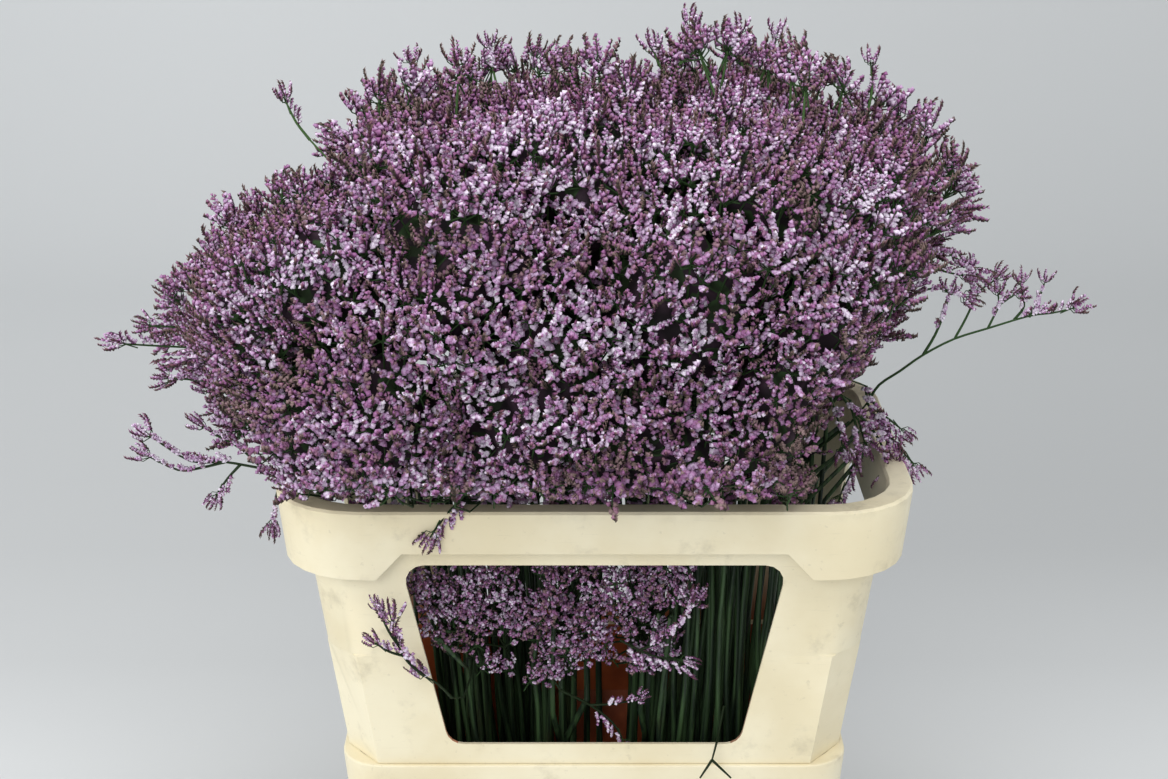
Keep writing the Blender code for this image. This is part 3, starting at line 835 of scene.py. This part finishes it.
OUTER_GAPS, INNER_GAPS, CORE_GAPS = (0.0168, 0.0245), (0.034, 0.045), (0.040, 0.06)
RIM_GAP, RIM_TRIES, CELL = 0.0205, 1500, 0.05
PULLS, PULLED_GAP = (1.0, 0.93, 0.86, 0.79, 0.72), 0.0288
OUTLINE = pixel_line(
    "262 488 262 445 226 398 204 352 182 330 186 292 200 262 224 238 252 216 300 212 322 204 328 180 "
    "350 176 350 146 368 114 408 94 486 78 566 74 640 82 692 62 742 60 782 70 832 98 874 98 904 122 "
    "934 156 948 188 940 222 926 258 898 296 872 336 842 380 812 402 796 470 806 506 520 510"
)


def inside(outline, x, y):
    """True where a flat point lies inside an outline."""
    odd = False
    for (x0, y0), (x1, y1) in zip(outline, outline[1:] + outline[:1]):
        if (y0 > y) != (y1 > y) and x < x0 + (y - y0) * (x1 - x0) / (y1 - y0):
            odd = not odd
    return odd


def gap_at(point, gaps):
    """Hands stand closer in front, where the photograph shows them, than round the back."""
    share = min(max((point.y - 0.03) / 0.10, 0), 1)
    return gaps[0] + (gaps[1] - gaps[0]) * share


def scatter_on_dome(draw, share, gaps, tries):
    found = Scatter()
    mouth = MOUTH[0] - 0.02, MOUTH[1] - 0.02
    for _ in range(tries):
        way = Vector((draw.gauss(0, 1), draw.gauss(0, 1), draw.gauss(0, 1))).normalized()
        if way.z < -0.5:
            continue
        for pull in PULLS:
            point = DOME_CENTRE + way * skin_reach(way, share) * pull
            if abs(point.x) < mouth[0] and abs(point.y) < mouth[1] and point.z < RIM_Z + 0.03:
                break
            point.z = max(point.z, lowest_at(point) + 0.013)
            if inside(OUTLINE, *pixel_of(point + lean_of(point) * 0.009)):
                found.add(point, gap_at(point, gaps) if pull == 1 else max(PULLED_GAP, gaps[0]))
                break
    return found.kept


def scatter_at_rim(draw):
    """Hands just behind the front rim, which close the view down into the collar."""
    found = Scatter()
    for _ in range(RIM_TRIES):
        rise = draw.uniform(-0.012, 0.050)
        y = -0.119 - 0.6 * max(rise, 0)
        found.add(Vector((draw.uniform(-0.20, 0.155), y, RIM_Z + rise)), RIM_GAP)
    return found.kept


def lean_of(point):
    """Hands face out of the dome and up."""
    return (dome_normal(point - DOME_CENTRE) * 0.8 + Vector((0, 0, 0.65))).normalized()


def at_the_edge(point):
    """True for a hand that stands against the backdrop in the photograph."""
    x, y = pixel_of(point)
    return not all(inside(OUTLINE, x + dx, y + dy) for dx, dy in ((-26, 0), (26, 0), (0, -28)))


OUTER = scatter_on_dome(draw, SKIN_SHARE, OUTER_GAPS, tries=40000)
INNER = scatter_on_dome(draw, INNER_SHARE, INNER_GAPS, tries=6000)
INNER += scatter_on_dome(draw, CORE_SHARE, CORE_GAPS, tries=3000)
INNER += scatter_at_rim(draw)
print("hands on the skin:", len(OUTER), "hands below it:", len(INNER))

# %% [markdown]
# A hand has to grow from some stem. It goes to the spray of the frame whose solid is
# nearest, and that spray's stalk tells where its twigs come from.

# %% Which spray owns a point
SPRAYS = sorted(name for name in NODES if name.startswith("spray_"))
HIGH_SPRAYS, LOW_SPRAYS = SPRAYS[:26], SPRAYS[26:]


def owner_finder(names):
    """A function that names the spray whose solid is nearest to a point."""
    corners = [(vert.co, name) for name in names for vert in NODES[name].data.vertices]
    tree = kdtree.KDTree(len(corners))
    for number, (place, _) in enumerate(corners):
        tree.insert(place, number)
    tree.balance()
    return lambda point: corners[tree.find(point)[1]][1]


owner_of, low_owner_of = owner_finder(HIGH_SPRAYS), owner_finder(LOW_SPRAYS)


def stalk_ends(number):
    """Foot and top of a stalk of the frame."""
    points = [vert.co for vert in NODES[f"stalk_{number}"].data.vertices]
    low, high = min(p.z for p in points), max(p.z for p in points)
    foot = [p for p in points if p.z < low + 0.004]
    top = [p for p in points if p.z > high - 0.004]
    return middle(foot), middle(top)


STALKS = {name[-2:]: stalk_ends(name[-2:]) for name in SPRAYS}
print("first stalk:", [tuple(round(c, 3) for c in end) for end in STALKS["01"]])

# %% [markdown]
# ## Hearts
#
# Deep between the hands the photograph shows shade, twigs and more florets. A rough heart
# in each spray gives that depth as painted shade: a dark shell where the mass is in shade.
# A ball of triangles is pulled out to the spray's own solid and held back a little. Some
# corners are raised and painted lighter, the rest sink and are painted darker, and all take
# the dark tones of stems and painted shade. Loose spikes stand on the heart's outward side.

# %% Make a heart
HEART_SHARE, HEART_MOST, HEART_LEAST, HEART_ROUGH, HEART_SUNK = 0.89, 0.084, 0.004, 0.0030, 0.036
HEART_RAISED, HEART_TONE, RAY_START = 0.36, 0.52, 0.5
LOOSE_GAPS = (0.0195, 0.0205)


def solid_tree(name):
    solid = NODES[name].data
    faces = [tuple(polygon.vertices) for polygon in solid.polygons]
    return BVHTree.FromPolygons([vert.co for vert in solid.vertices], faces)


def sunk(point):
    """A place held back under the hands' skin, more so behind, where the hands are fewer."""
    arm = point - DOME_CENTRE
    behind = min(max(point.y / 0.05 + 0.4, 0), 1)
    most = skin_reach(arm.normalized(), SKIN_SHARE) - HEART_SUNK * behind
    return DOME_CENTRE + arm * min(most / arm.length, 1)


def heart(name, centre, draw, heap):
    """Adds a heart and gives back its corners with the way that each one faces."""
    tree = solid_tree(name)
    bm = bmesh.new()
    bmesh.ops.create_icosphere(bm, subdivisions=4, radius=1)
    for vert in bm.verts:
        way = vert.co.normalized()
        place, _, _, distance = tree.ray_cast(centre + way * RAY_START, -way)
        reach = RAY_START - distance if place else 0.02
        reach = min(max(reach, HEART_LEAST) * HEART_SHARE, HEART_MOST)
        while reach > HEART_LEAST and not inside(OUTLINE, *pixel_of(centre + way * (reach + 0.006))):
            reach *= 0.85
        vert.co = sunk(centre + way * reach)
    axes = {f"use_axis_{axis}": True for axis in "xyz"}
    for _ in range(3):
        bmesh.ops.smooth_vert(bm, verts=bm.verts, factor=0.6, **axes)
    skin, along, tones = [], {}, {}
    # Painted shade: dark shade and stem tones, lighter on raised corners and darker on sunken ones.
    for vert in bm.verts:
        raised = draw.random() < HEART_RAISED
        tones[vert] = SHADE_TONE if raised else draw.choice((STEM_TONE, SHADE_TONE))
        away = (vert.co - centre).normalized()
        vert.co = vert.co + away * (HEART_ROUGH if raised else -HEART_ROUGH)
        along[vert] = draw.uniform(0.4, 1.0) if raised else 0.0
        skin.append((vert.co.copy(), away))
    bm.verts.index_update()
    order = [vert for face in bm.faces for vert in face.verts]
    corners = [vert.index for vert in order]
    heap.add_plain([p for p, _ in skin], corners, [tones[v] for v in order], [along[v] for v in order])
    bm.free()
    return skin


def cover_heart(skin, draw, heap):
    """Loose spikes on the outward side of a heart."""
    spots = Scatter()
    for point, away in draw.sample(skin, len(skin)):
        outward = dome_normal(point - DOME_CENTRE)
        if away.dot(outward) < 0.15 or not spots.add(point, gap_at(point, LOOSE_GAPS)):
            continue
        jitter = drawn(draw, (-1, 1), (-1, 1), (-0.4, 0.9))
        way = away * 0.5 + jitter * 0.6 + Vector((0, 0, 0.3))
        size, tone = draw.uniform(1.0, 1.35), HEART_TONE + draw.uniform(-0.12, 0.12)
        heap.add(draw.choice(SHORT), spike_frame(point + away * 0.002, way, outward, size), tone)


# %% [markdown]
# A twig is a line of a few points. A curve with a round bevel makes it a tube that tapers,
# and turning the curve into a mesh lets it join the spray's one piece.

# %% Grow twigs as curves
TWIG_RADIUS = 0.0008


def twig_mesh(lines, radius=TWIG_RADIUS, sides=0):
    """Tubes along several lines of points, tapering to their ends, as one triangle mesh."""
    data = bpy.data.curves.new("twigs", "CURVE")
    data.dimensions = "3D"
    data.bevel_depth = radius
    data.bevel_resolution = sides
    data.use_fill_caps = True
    for line in lines:
        spline = data.splines.new("POLY")
        spline.points.add(len(line) - 1)
        for i, (point, place) in enumerate(zip(spline.points, line)):
            point.co = (*place, 1)
            point.radius = 1.5 - 0.6 * i / (len(line) - 1)
    obj = linked("twigs", data)
    mesh = applied(obj)
    bpy.data.objects.remove(obj, do_unlink=True)
    return mesh


def arc(start, lean, end, arrive, steps=5):
    """A curve that leaves one way and arrives another, as a few points."""
    span = (end - start).length
    first, last = start + lean.normalized() * span * 0.35, end - arrive.normalized() * span * 0.4
    points = []
    for i in range(steps):
        t = i / (steps - 1)
        u = 1 - t
        points.append(start * u**3 + first * 3 * u * u * t + last * 3 * u * t * t + end * t**3)
    return points


def add_twigs(heap, lines):
    """Adds twigs to a heap. They are darker green low down than near the florets."""
    mesh = twig_mesh(lines)
    mesh.calc_loop_triangles()
    points = array_of(mesh.vertices, "co", 3)
    corners = array_of(mesh.loop_triangles, "vertices", 3, np.int32).ravel()
    along = np.clip((points[corners, 2] - 0.42) / 0.34, 0.05, 0.9)
    heap.add_plain(points, corners, np.full(len(along), STEM_TONE), along)
    bpy.data.meshes.remove(mesh)


# %% [markdown]
# ## Thin shoots
#
# A few thin shoots stand out of the mass: a long one at the right, arching ones at the
# left, and small ones over the rim. Their lines are laid through the pixels where the
# photograph shows them, on one upright plane each. Spikes stand along both sides of the
# part that flowers, and a small hand ends every shoot. A row holds the plane's depth, the
# spikes' size, how much they rise, the share of the stem that is bare, and its pixels.

# %% The shoots' lines
SHOOT_GROUPS = {
    "right": (
        (-0.05, 1.0, 0.3, 0.8,
            "868 402 879 385 900 371 923 355 954 339 989 328 1029 316 1052 313 1070 309"),
        (-0.05, 0.8, 0.3, 0.5, "923 355 935 335 945 311 948 296"),
        (-0.05, 0.8, 0.3, 0.45, "955 338 966 318 973 300 970 282 967 268"),
        (-0.05, 0.7, 0.3, 0.3, "973 300 982 289 996 279"),
        (-0.05, 0.7, 0.3, 0.4, "988 328 995 314 999 305 998 294"),
        (-0.05, 0.7, 0.3, 0.2, "999 305 1006 300 1013 296"),
        (-0.05, 0.7, 0.3, 0.4, "1014 320 1024 306 1021 285"),
        (-0.05, 0.7, 0.3, 0.3, "1029 317 1037 304 1044 284"),
    ),
    "right_high": (
        (-0.05, 0.9, 0.1, 0.45, "880 300 902 268 936 252 951 255 972 270"),
        (-0.05, 0.8, 0.1, 0.45, "880 300 908 274 930 269 959 275"),
        (-0.05, 0.8, 0.1, 0.45, "880 330 905 300 935 288 962 296"),
    ),
    "right_low": (
        (-0.06, 0.9, -0.6, 0.25, "866 386 878 412 893 440 912 462"),
        (-0.07, 0.9, -0.6, 0.25, "850 400 858 440 852 470 840 496"),
        (-0.06, 0.8, -0.4, 0.2, "878 412 890 420 900 428"),
        (-0.06, 1.0, 0.2, 0.1, "866 386 868 404 880 422 888 438"),
    ),
    "right_hang": (
        (-0.07, 0.9, 0.2, 0.2, "842 396 852 410 860 424 864 440"),
        (-0.07, 0.9, 0.2, 0.3, "852 410 868 424 882 446 886 470"),
        (-0.08, 0.9, 0.2, 0.3, "830 396 838 420 842 444"),
    ),
    "left": (
        (-0.03, 1.0, 0.45, 0.42, "285 362 262 352 240 349 205 348 160 346 124 344"),
        (-0.03, 0.8, 0.45, 0.3, "215 348 198 336 180 328 152 326"),
        (-0.03, 0.8, 0.45, 0.3, "240 349 222 334 205 322"),
    ),
    "left_mid": (
        (-0.05, 0.9, 0.2, 0.35, "275 398 262 390 240 386 205 381 172 378"),
    ),
    "left_low": (
        (-0.09, 1.0, 0.2, 0.45, "300 474 260 468 225 462 190 461 152 437"),
        (-0.09, 0.8, 0.2, 0.3, "225 462 200 468 178 470 148 456"),
        (-0.09, 0.8, 0.2, 0.3, "262 468 240 448 218 436 205 428"),
        (-0.09, 0.8, -0.3, 0.3, "240 465 228 478 218 492"),
    ),
    "left_edge": (
        (-0.05, 0.8, -0.8, 0.7, "296 470 280 486 275 502 273 520"),
    ),
    "droop": (
        (-0.176, 0.9, -0.9, 0.3, "470 486 460 500 447 514 434 531"),
    ),
    "top": (
        (0.0, 1.0, 1.0, 0.45, "668 96 676 72 686 50 690 30"),
        (0.0, 0.8, 1.0, 0.3, "680 64 694 52 704 42"),
        (0.0, 0.8, 1.0, 0.3, "672 84 660 66 654 52"),
    ),
    "top_left": (
        (0.0, 0.9, 1.0, 0.45, "420 120 414 96 412 66"),
        (0.0, 0.8, 1.0, 0.4, "310 140 296 122 286 102"),
        (0.0, 0.8, 1.0, 0.45, "500 96 494 74 490 50"),
    ),
    "top_right": (
        (0.0, 0.8, 1.0, 0.45, "868 110 872 90 871 66"),
        (0.0, 0.8, 1.0, 0.45, "760 80 770 60 776 40"),
        (0.0, 0.8, 1.0, 0.45, "742 80 742 60 738 36"),
    ),
}


def smooth_line(points, steps=3):
    """A line through all its points with rounded bends."""
    ends = [points[0] * 2 - points[1]] + points + [points[-1] * 2 - points[-2]]
    found = []
    for i in range(1, len(ends) - 2):
        a, b, c, d = ends[i - 1 : i + 3]
        for k in range(steps):
            t = k / steps
            bend, twist = 2 * a - 5 * b + 4 * c - d, 3 * b - a - 3 * c + d
            found.append(0.5 * (2 * b + (c - a) * t + bend * t * t + twist * t**3))
    return found + [points[-1]]


def hand_frame(place, way, draw, size):
    """Where a hand stands, a little stretched, so that no two look the same."""
    stretch = Matrix.Diagonal((*drawn(draw, (0.85, 1.2), (0.85, 1.2), (0.9, 1.2)), 1))
    return aimed(place, way, draw.uniform(0, 6.28), size) @ stretch


def spike_frame(place, way, upper, size):
    """Where a spike stands, which way it runs and which side carries its florets."""
    x = way.normalized()
    z = upper - x * upper.dot(x)
    z = z.normalized() if z.length > 0.05 else x.orthogonal().normalized()
    turn = Matrix((x, z.cross(x), z)).transposed().to_4x4()
    return Matrix.Translation(place) @ turn @ Matrix.Scale(size, 4)


SHOOT_SPIKE, SHOOT_STEP = 1.15, 0.0056


def add_shoot(heap, lines, draw, depth, size, rise, bare, text):
    """A shoot's stem, with spikes on both sides of its flowering part and a hand at its end."""
    line = smooth_line(
        [at_pixel(px, py, depth + 0.008 * math.sin(px * 0.045)) for px, py in pixel_line(text)]
    )
    lines.append(line)
    lengths = [(b - a).length for a, b in zip(line, line[1:])]
    total, walked, at = sum(lengths), 0.0, 0
    upper = Vector((0, -0.25, rise)).normalized()
    place = bare * total
    while place < total:
        while walked + lengths[at] < place:
            walked += lengths[at]
            at += 1
        here = line[at].lerp(line[at + 1], (place - walked) / lengths[at])
        along = (line[at + 1] - line[at]).normalized()
        side = Vector((0, draw.choice((-1, 1)) * draw.uniform(0.2, 0.9), draw.uniform(-0.15, 0.3)))
        way = along * 0.8 + upper * draw.uniform(0.3, 1.1) + side * 0.7
        reach = SHOOT_SPIKE * size * (1 - 0.3 * place / total)
        kind = draw.choice(SHY if draw.random() < 0.5 else FULL)
        heap.add(kind, spike_frame(here, way, upper, reach), draw.uniform(0.5, 0.8))
        place += SHOOT_STEP * draw.uniform(0.7, 1.3)
    ending = (line[-1] - line[-2]).normalized()
    end_hand(heap, draw, line[-1], ending + upper * 0.35, size * 0.8, draw.uniform(0.5, 0.75))


def end_hand(heap, draw, tip, way, size, tone, kinds=None):
    """A hand whose fork starts at a twig's tip."""
    way = way.normalized()
    stamp, place = draw.choice(kinds or FORKED), tip - way * HAND_FORK * size * 0.9
    heap.add(stamp, hand_frame(place, way, draw, size), tone)


# %% [markdown]
# ## The sprays
#
# Each spray of the frame is replaced by its heart, its twigs and its hands. Neighbouring
# hands share a tone, as florets of one branch open together, so the tone comes from slow
# noise over the dome with a little of each hand's own. Twigs with a hand or two at their
# tips stand out past the photograph's outline, which keeps the edge of the mass loose.


# %% Fill the high sprays
TONE_MIDDLE = 0.50


def tone_at(point, draw):
    slow = noise.noise(point * 11) + 0.6 * noise.noise(point * 27)
    return min(max(TONE_MIDDLE + 0.27 * slow + draw.uniform(-0.16, 0.16), 0.22), 0.85)


FRINGE_STEP, FRINGE_ROOT, FRINGE_REACH, JOIN_PIXELS = 19, 44, (-12, 15), 17


def fringe(draw):
    """Twigs that stand out past the outline: each one's depth, its root and its tip in pixels."""
    found = []
    sides = list(zip(OUTLINE, OUTLINE[1:] + OUTLINE[:1]))[1:-6]
    for (x0, y0), (x1, y1) in sides:
        length = math.dist((x0, y0), (x1, y1))
        for i in range(max(round(length / FRINGE_STEP), 1)):
            t = (i + draw.uniform(0.2, 0.8)) * FRINGE_STEP / max(length, FRINGE_STEP)
            x, y = x0 + (x1 - x0) * t, y0 + (y1 - y0) * t
            out = Vector(((y1 - y0) / length, (x0 - x1) / length - 0.55)).normalized()
            out += drawn(draw, (-0.4, 0.4), (-0.3, 0.3))
            tip = Vector((x, y)) + out * draw.uniform(*FRINGE_REACH)
            root = Vector((x, y)) - out * FRINGE_ROOT
            found.append((draw.uniform(-0.08, 0.08), root, tip))
    return found


WANTED, TWIGS_OF, SHOOTS_OF = ({name: [] for name in SPRAYS} for _ in range(3))
for depth, root, tip in fringe(draw):
    TWIGS_OF[owner_of(at_pixel(*tip, depth))].append((at_pixel(*root, depth), at_pixel(*tip, depth)))
print("twigs past the outline:", sum(len(twigs) for twigs in TWIGS_OF.values()))
for points, outer in ((OUTER, True), (INNER, False)):
    for point in points:
        WANTED[owner_of(point)].append((point, outer))
for rows in SHOOT_GROUPS.values():
    owner, earlier = owner_of(at_pixel(*pixel_line(rows[0][-1])[0], rows[0][0])), []
    for row in rows:
        line = pixel_line(row[-1])
        joined = any(math.dist(pixel, line[0]) < JOIN_PIXELS for pixel in earlier)
        SHOOTS_OF[owner].append((row, joined))
        earlier += line


def finish_spray(name, heap, lines):
    """Adds the twigs, puts the spray into the scene and counts its triangles."""
    add_twigs(heap, lines)
    piece = object_of(f"{name}_flowers", heap.mesh(f"{name}_flowers"), palette)
    stand_for(piece, name)
    return len(piece.data.polygons)


def high_spray(name):
    draw = random.Random(int(name[-2:]))
    foot, top = STALKS[name[-2:]]
    rising = (top - foot).normalized()
    corners = [vert.co for vert in NODES[name].data.vertices]
    centre = middle([corner for corner in corners if inside(OUTLINE, *pixel_of(corner))])
    heap, lines = Heap(), [arc(top - rising * 0.002, rising, centre, centre - top)]
    cover_heart(heart(name, centre, draw, heap), draw, heap)
    for point, outer in WANTED[name]:
        jitter = drawn(draw, (-0.3, 0.3), (-0.3, 0.3), (-0.2, 0.2))
        way = (lean_of(point) + jitter).normalized()
        size = draw.uniform(0.95, 1.2) if outer else draw.uniform(0.85, 1.0)
        at_edge = outer and at_the_edge(point)
        stamp = draw.choice(FORKED if outer and draw.random() < (0.7 if at_edge else 0.15) else DENSE)
        # Painted shade: hands below the skin take a darker tone. Hands at the outline take it too, as
        # more of their florets are closed.
        tone = tone_at(point, draw) - (0.12 if at_edge or not outer else 0)
        heap.add(stamp, hand_frame(point, way, draw, size), tone)
        root = top.lerp(centre, draw.uniform(0.3, 0.9))
        lines.append(arc(root, centre - top, point + way * HAND_FORK * size * 1.8, way))
    for root, tip in TWIGS_OF[name]:
        way = (tip - root).normalized() + Vector((0, 0, 0.3))
        lines.append(arc(root, tip - root, tip, way))
        for behind in (0.0, draw.uniform(0.004, 0.014)):
            jitter = drawn(draw, (-0.7, 0.7), (-0.7, 0.7), (-0.5, 0.4))
            start = tip - (tip - root).normalized() * behind
            size, tone = draw.uniform(0.85, 1.15), draw.uniform(0.36, 0.62)
            end_hand(heap, draw, start, way + jitter, size, tone, FORKED + DENSE)
    for row, joined in SHOOTS_OF[name]:
        add_shoot(heap, lines, draw, *row)
        start, following = lines[-1][:2]
        if not joined:
            lines.append(arc(top.lerp(centre, 0.6), centre - top, start, following - start))
    return finish_spray(name, heap, lines)


high_totals = [high_spray(name) for name in HIGH_SPRAYS]
print("triangles of the high sprays:", sum(high_totals), "most in one:", max(high_totals))

# %% [markdown]
# ## The low sprays in the window
#
# Three short stems fill the window's upper half. Their hands stand on the front of their
# own solids and stay behind the wall. One sends a shoot out past the window's edge, a
# small one hangs over the inner wall with its painted orange-brown glow, and a thin forked
# stem hangs over the sill.

# %% Fill the low sprays
LOW_GAP, LOW_DEPTHS, LOW_HOLES, LOW_VIEW = 0.0128, (-0.124, -0.094), 0.16, ((404, 698), (552, 688))
LOW_OUTLINE = pixel_line(
    "404 552 694 552 698 596 680 640 672 664 630 662 600 650 572 672 540 688 520 668 490 668 466 646 "
    "436 640 412 600"
)
SILL_TWIG = ((724, 706, -0.112), (718, 736, -0.128), (716, 745, -0.1445), (712, 760, -0.1460))
SILL_FORKS = ((700, 778), (731, 778))
LOW_SHOOTS = (
    (
        (-0.15, 0.9, 0.6, 0.9, "452 698 438 684 424 676"),
        (-0.172, 0.9, 0.7, 0.25, "424 676 408 662 398 645 392 622"),
        (-0.172, 0.7, 0.5, 0.2, "404 656 390 652 378 645"),
        (-0.172, 0.7, 0.8, 0.2, "398 645 388 630 380 612"),
    ),
    (
        (-0.12, 0.8, -0.5, 0.55, "560 690 590 705 612 722 622 738"),
        (-0.12, 0.7, 0.3, 0.4, "590 705 612 704 636 700"),
    ),
    (
        (-0.125, 0.9, 0.3, 0.2, "640 650 664 640 684 622 692 604"),
        (-0.125, 0.9, -0.3, 0.2, "620 640 650 655 678 660"),
    ),
)
LOW_WANTED = {name: [] for name in LOW_SPRAYS}
low_spots = Scatter()
for _ in range(4000):
    pixel = [draw.uniform(*ends) for ends in LOW_VIEW]
    point = at_pixel(*pixel, draw.uniform(*LOW_DEPTHS))
    in_hole = noise.noise(Vector((point.x * 34, 0.7, point.z * 34))) < -LOW_HOLES
    if inside(LOW_OUTLINE, *pixel) and not in_hole and low_spots.add(point, LOW_GAP):
        LOW_WANTED[low_owner_of(point)].append(point)


def low_spray(place, name):
    draw = random.Random(50 + place)
    top = STALKS[name[-2:]][1]
    corners = [vert.co for vert in NODES[name].data.vertices if vert.co.y > -0.12]
    centre = middle([corner for corner in corners if inside(LOW_OUTLINE, *pixel_of(corner))])
    heap, lines = Heap(), []
    for point in LOW_WANTED[name]:
        lean = drawn(draw, (-0.5, 0.5), (-0.8, -0.2), (0.3, 0.9)).normalized()
        size = draw.uniform(0.66, 0.86)
        stamp, matrix = draw.choice(SMALL), hand_frame(point, lean, draw, size)
        heap.add(stamp, matrix, tone_at(point * 2.2, draw) - 0.02)
        root = top.lerp(centre, draw.uniform(0.2, 0.8))
        lines.append(arc(root, centre - top, point + lean * HAND_FORK * size * 1.8, lean))
    for row in LOW_SHOOTS[place]:
        add_shoot(heap, lines, draw, *row)
        if row is LOW_SHOOTS[place][0]:
            start, following = lines[-1][:2]
            lines.append(arc(top, centre - top, start, following - start))
    if place == 2:
        trunk = smooth_line([at_pixel(*point) for point in SILL_TWIG])
        ends = [at_pixel(*end, SILL_TWIG[-1][2]) for end in SILL_FORKS]
        lines += [trunk] + [smooth_line([trunk[-1], end]) for end in ends]
    return finish_spray(name, heap, lines), len(LOW_WANTED[name])


low_totals = [low_spray(place, name) for place, name in enumerate(LOW_SPRAYS)]
print("triangles and hands of the low sprays:", low_totals)

# %% [markdown]
# ## Stalks
#
# The frame has one stalk for each spray. A real stem of statice forks low down, so each
# stalk here gets three or four thinner companions that stand on the same floor and lean
# the same way, and more stems stand where the photograph shows them crowded. A stem that
# would cross the bare part of the inner wall with its painted orange-brown glow forks from
# its stalk above it instead. All are curves with a round bevel, and their green reads the
# object's coordinates squeezed along Z, which draws the streaks out lengthwise.

# %% Stalk finish
def stalk_green():
    finish = Finish("stalk_green")
    streaks = finish.cloud(finish.place((260, 260, 6)), 1.0, 3.0)
    patches = finish.cloud(finish.place((9, 9, 5)), 2.0, 2.0)
    colour = finish.mix(paint("#18271a"), paint("#3c5633"), streaks.over(0.35, 0.68))
    colour = finish.mix(colour, paint("#4a4a2c"), patches.over(0.56, 0.78) * 0.6)
    relief = finish.bump(0.3, 0.0004, streaks)
    return finish.surface(base_color=colour, roughness=0.55, normal=relief, specular_ior_level=0.35)


STALK_RADIUS, THIN_RADIUS, STALK_FOOT_Z = 0.0028, 0.0019, 0.0045
COLLAR_SIDE, COLLAR_FRONT, COLLAR_BACK = 0.19, -0.118, 0.122
green = stalk_green()
print("stalk nodes:", len(green.node_tree.nodes))

# %% Bend the stalks and place the extra stems


def bent(foot, top, draw, sway, steps=9):
    """A nearly straight line between two points that sways a little between them."""
    turn, waves = draw.uniform(0, math.tau), draw.uniform(0.8, 1.6)
    points = []
    for i in range(steps):
        t = i / (steps - 1)
        off = math.sin(math.pi * t) * math.sin(turn + waves * math.tau * t) * sway
        points.append(foot.lerp(top, t) + Vector((off, off * math.cos(turn), 0)))
    return points


def near(place, draw, least, most):
    turn, far = draw.uniform(0, math.tau), draw.uniform(least, most)
    return place + Vector((math.cos(turn) * far, math.sin(turn) * far, 0))


EXTRA_ROWS = (
    (22, 0.062, 0.0042, -0.114, 0.050, 7, 11, 0.48),
    (33, -0.135, 0.0086, 0.080, 0.034, 5, 7, 0.50),
    (12, 0.115, 0.0062, -0.100, 0.090, 5, 7, 0.56),
    (17, -0.112, 0.0056, 0.060, 0.050, 3, 5, 0.50),
)
EXTRA = [
    (x + step * i, y + spread * (i * turn % cycle) / cycle, height)
    for count, x, step, y, spread, turn, cycle, height in EXTRA_ROWS
    for i in range(count)
]
WALL_VIEW = pixel_line("574 676 626 676 644 750 551 750")


def hides_wall(line):
    """True for a stalk that crosses the inner wall with its painted glow where the photograph shows it
    bare.
    """
    fine = [a.lerp(b, k / 4) for a, b in zip(line, line[1:]) for k in range(4)]
    return any(inside(WALL_VIEW, *pixel_of(point)) for point in fine)


def make_stalk(number, extras):
    draw = random.Random(200 + int(number))
    foot, top = STALKS[number]
    foot = Vector((foot.x, foot.y, STALK_FOOT_Z))
    spray = [vert.co for vert in NODES[f"spray_{number}"].data.vertices]
    onward = (middle(spray) - top).normalized() * 0.06
    lines = [bent(foot, top, draw, 0.0012)]
    for _ in range(draw.choice((3, 4))):
        thin_foot = near(foot, draw, 0.007, 0.020)
        thin_top = near(top, draw, 0.008, 0.034)
        thin_top.y = max(min(thin_top.y, COLLAR_BACK), COLLAR_FRONT)
        thin_top.x = max(min(thin_top.x, COLLAR_SIDE), -COLLAR_SIDE)
        ending = [thin_top, thin_top.lerp(top, 0.5) + onward]
        lines.append(bent(thin_foot, thin_top, draw, 0.004)[:-1] + ending)
    for x, y, height in extras:
        low = Vector((x * 0.84, y * 0.75, STALK_FOOT_Z))
        lines.append(bent(low, Vector((x + draw.uniform(-0.02, 0.02), y, height)), draw, 0.004))
    thin = [[lines[0][6]] + line[7:] if hides_wall(line) else line for line in lines[1:]]
    parts = [twig_mesh(lines[:1], STALK_RADIUS / 1.25, 2), twig_mesh(thin, THIN_RADIUS, 1)]
    bm = bmesh.new()
    for part in parts:
        bm.from_mesh(part)
        bpy.data.meshes.remove(part)
    bmesh.ops.remove_doubles(bm, verts=bm.verts, dist=1e-6)
    bmesh.ops.recalc_face_normals(bm, faces=bm.faces)
    for face in bm.faces:
        face.smooth = True
    piece = object_of(f"stalk_{number}_green", mesh_of(f"stalk_{number}_green", bm), green)
    stand_for(piece, f"stalk_{number}")
    return 1 + len(thin)


EXTRAS_OF = {number: [] for number in STALKS}
for x, y, height in EXTRA:
    nearest = min(STALKS, key=lambda number: (STALKS[number][1].xy - Vector((x, y))).length)
    EXTRAS_OF[nearest].append((x, y, height))
print("stalks drawn:", sum(make_stalk(number, EXTRAS_OF[number]) for number in STALKS))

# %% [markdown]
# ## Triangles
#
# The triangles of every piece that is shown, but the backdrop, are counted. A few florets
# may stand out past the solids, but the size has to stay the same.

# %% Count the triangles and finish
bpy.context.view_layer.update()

shown = [obj for obj in bpy.data.objects if obj.type == "MESH" and not obj.hide_render]
polygons = [p for obj in shown if obj is not backdrop for p in obj.data.polygons]
print("triangles in all:", sum(len(p.vertices) - 2 for p in polygons))
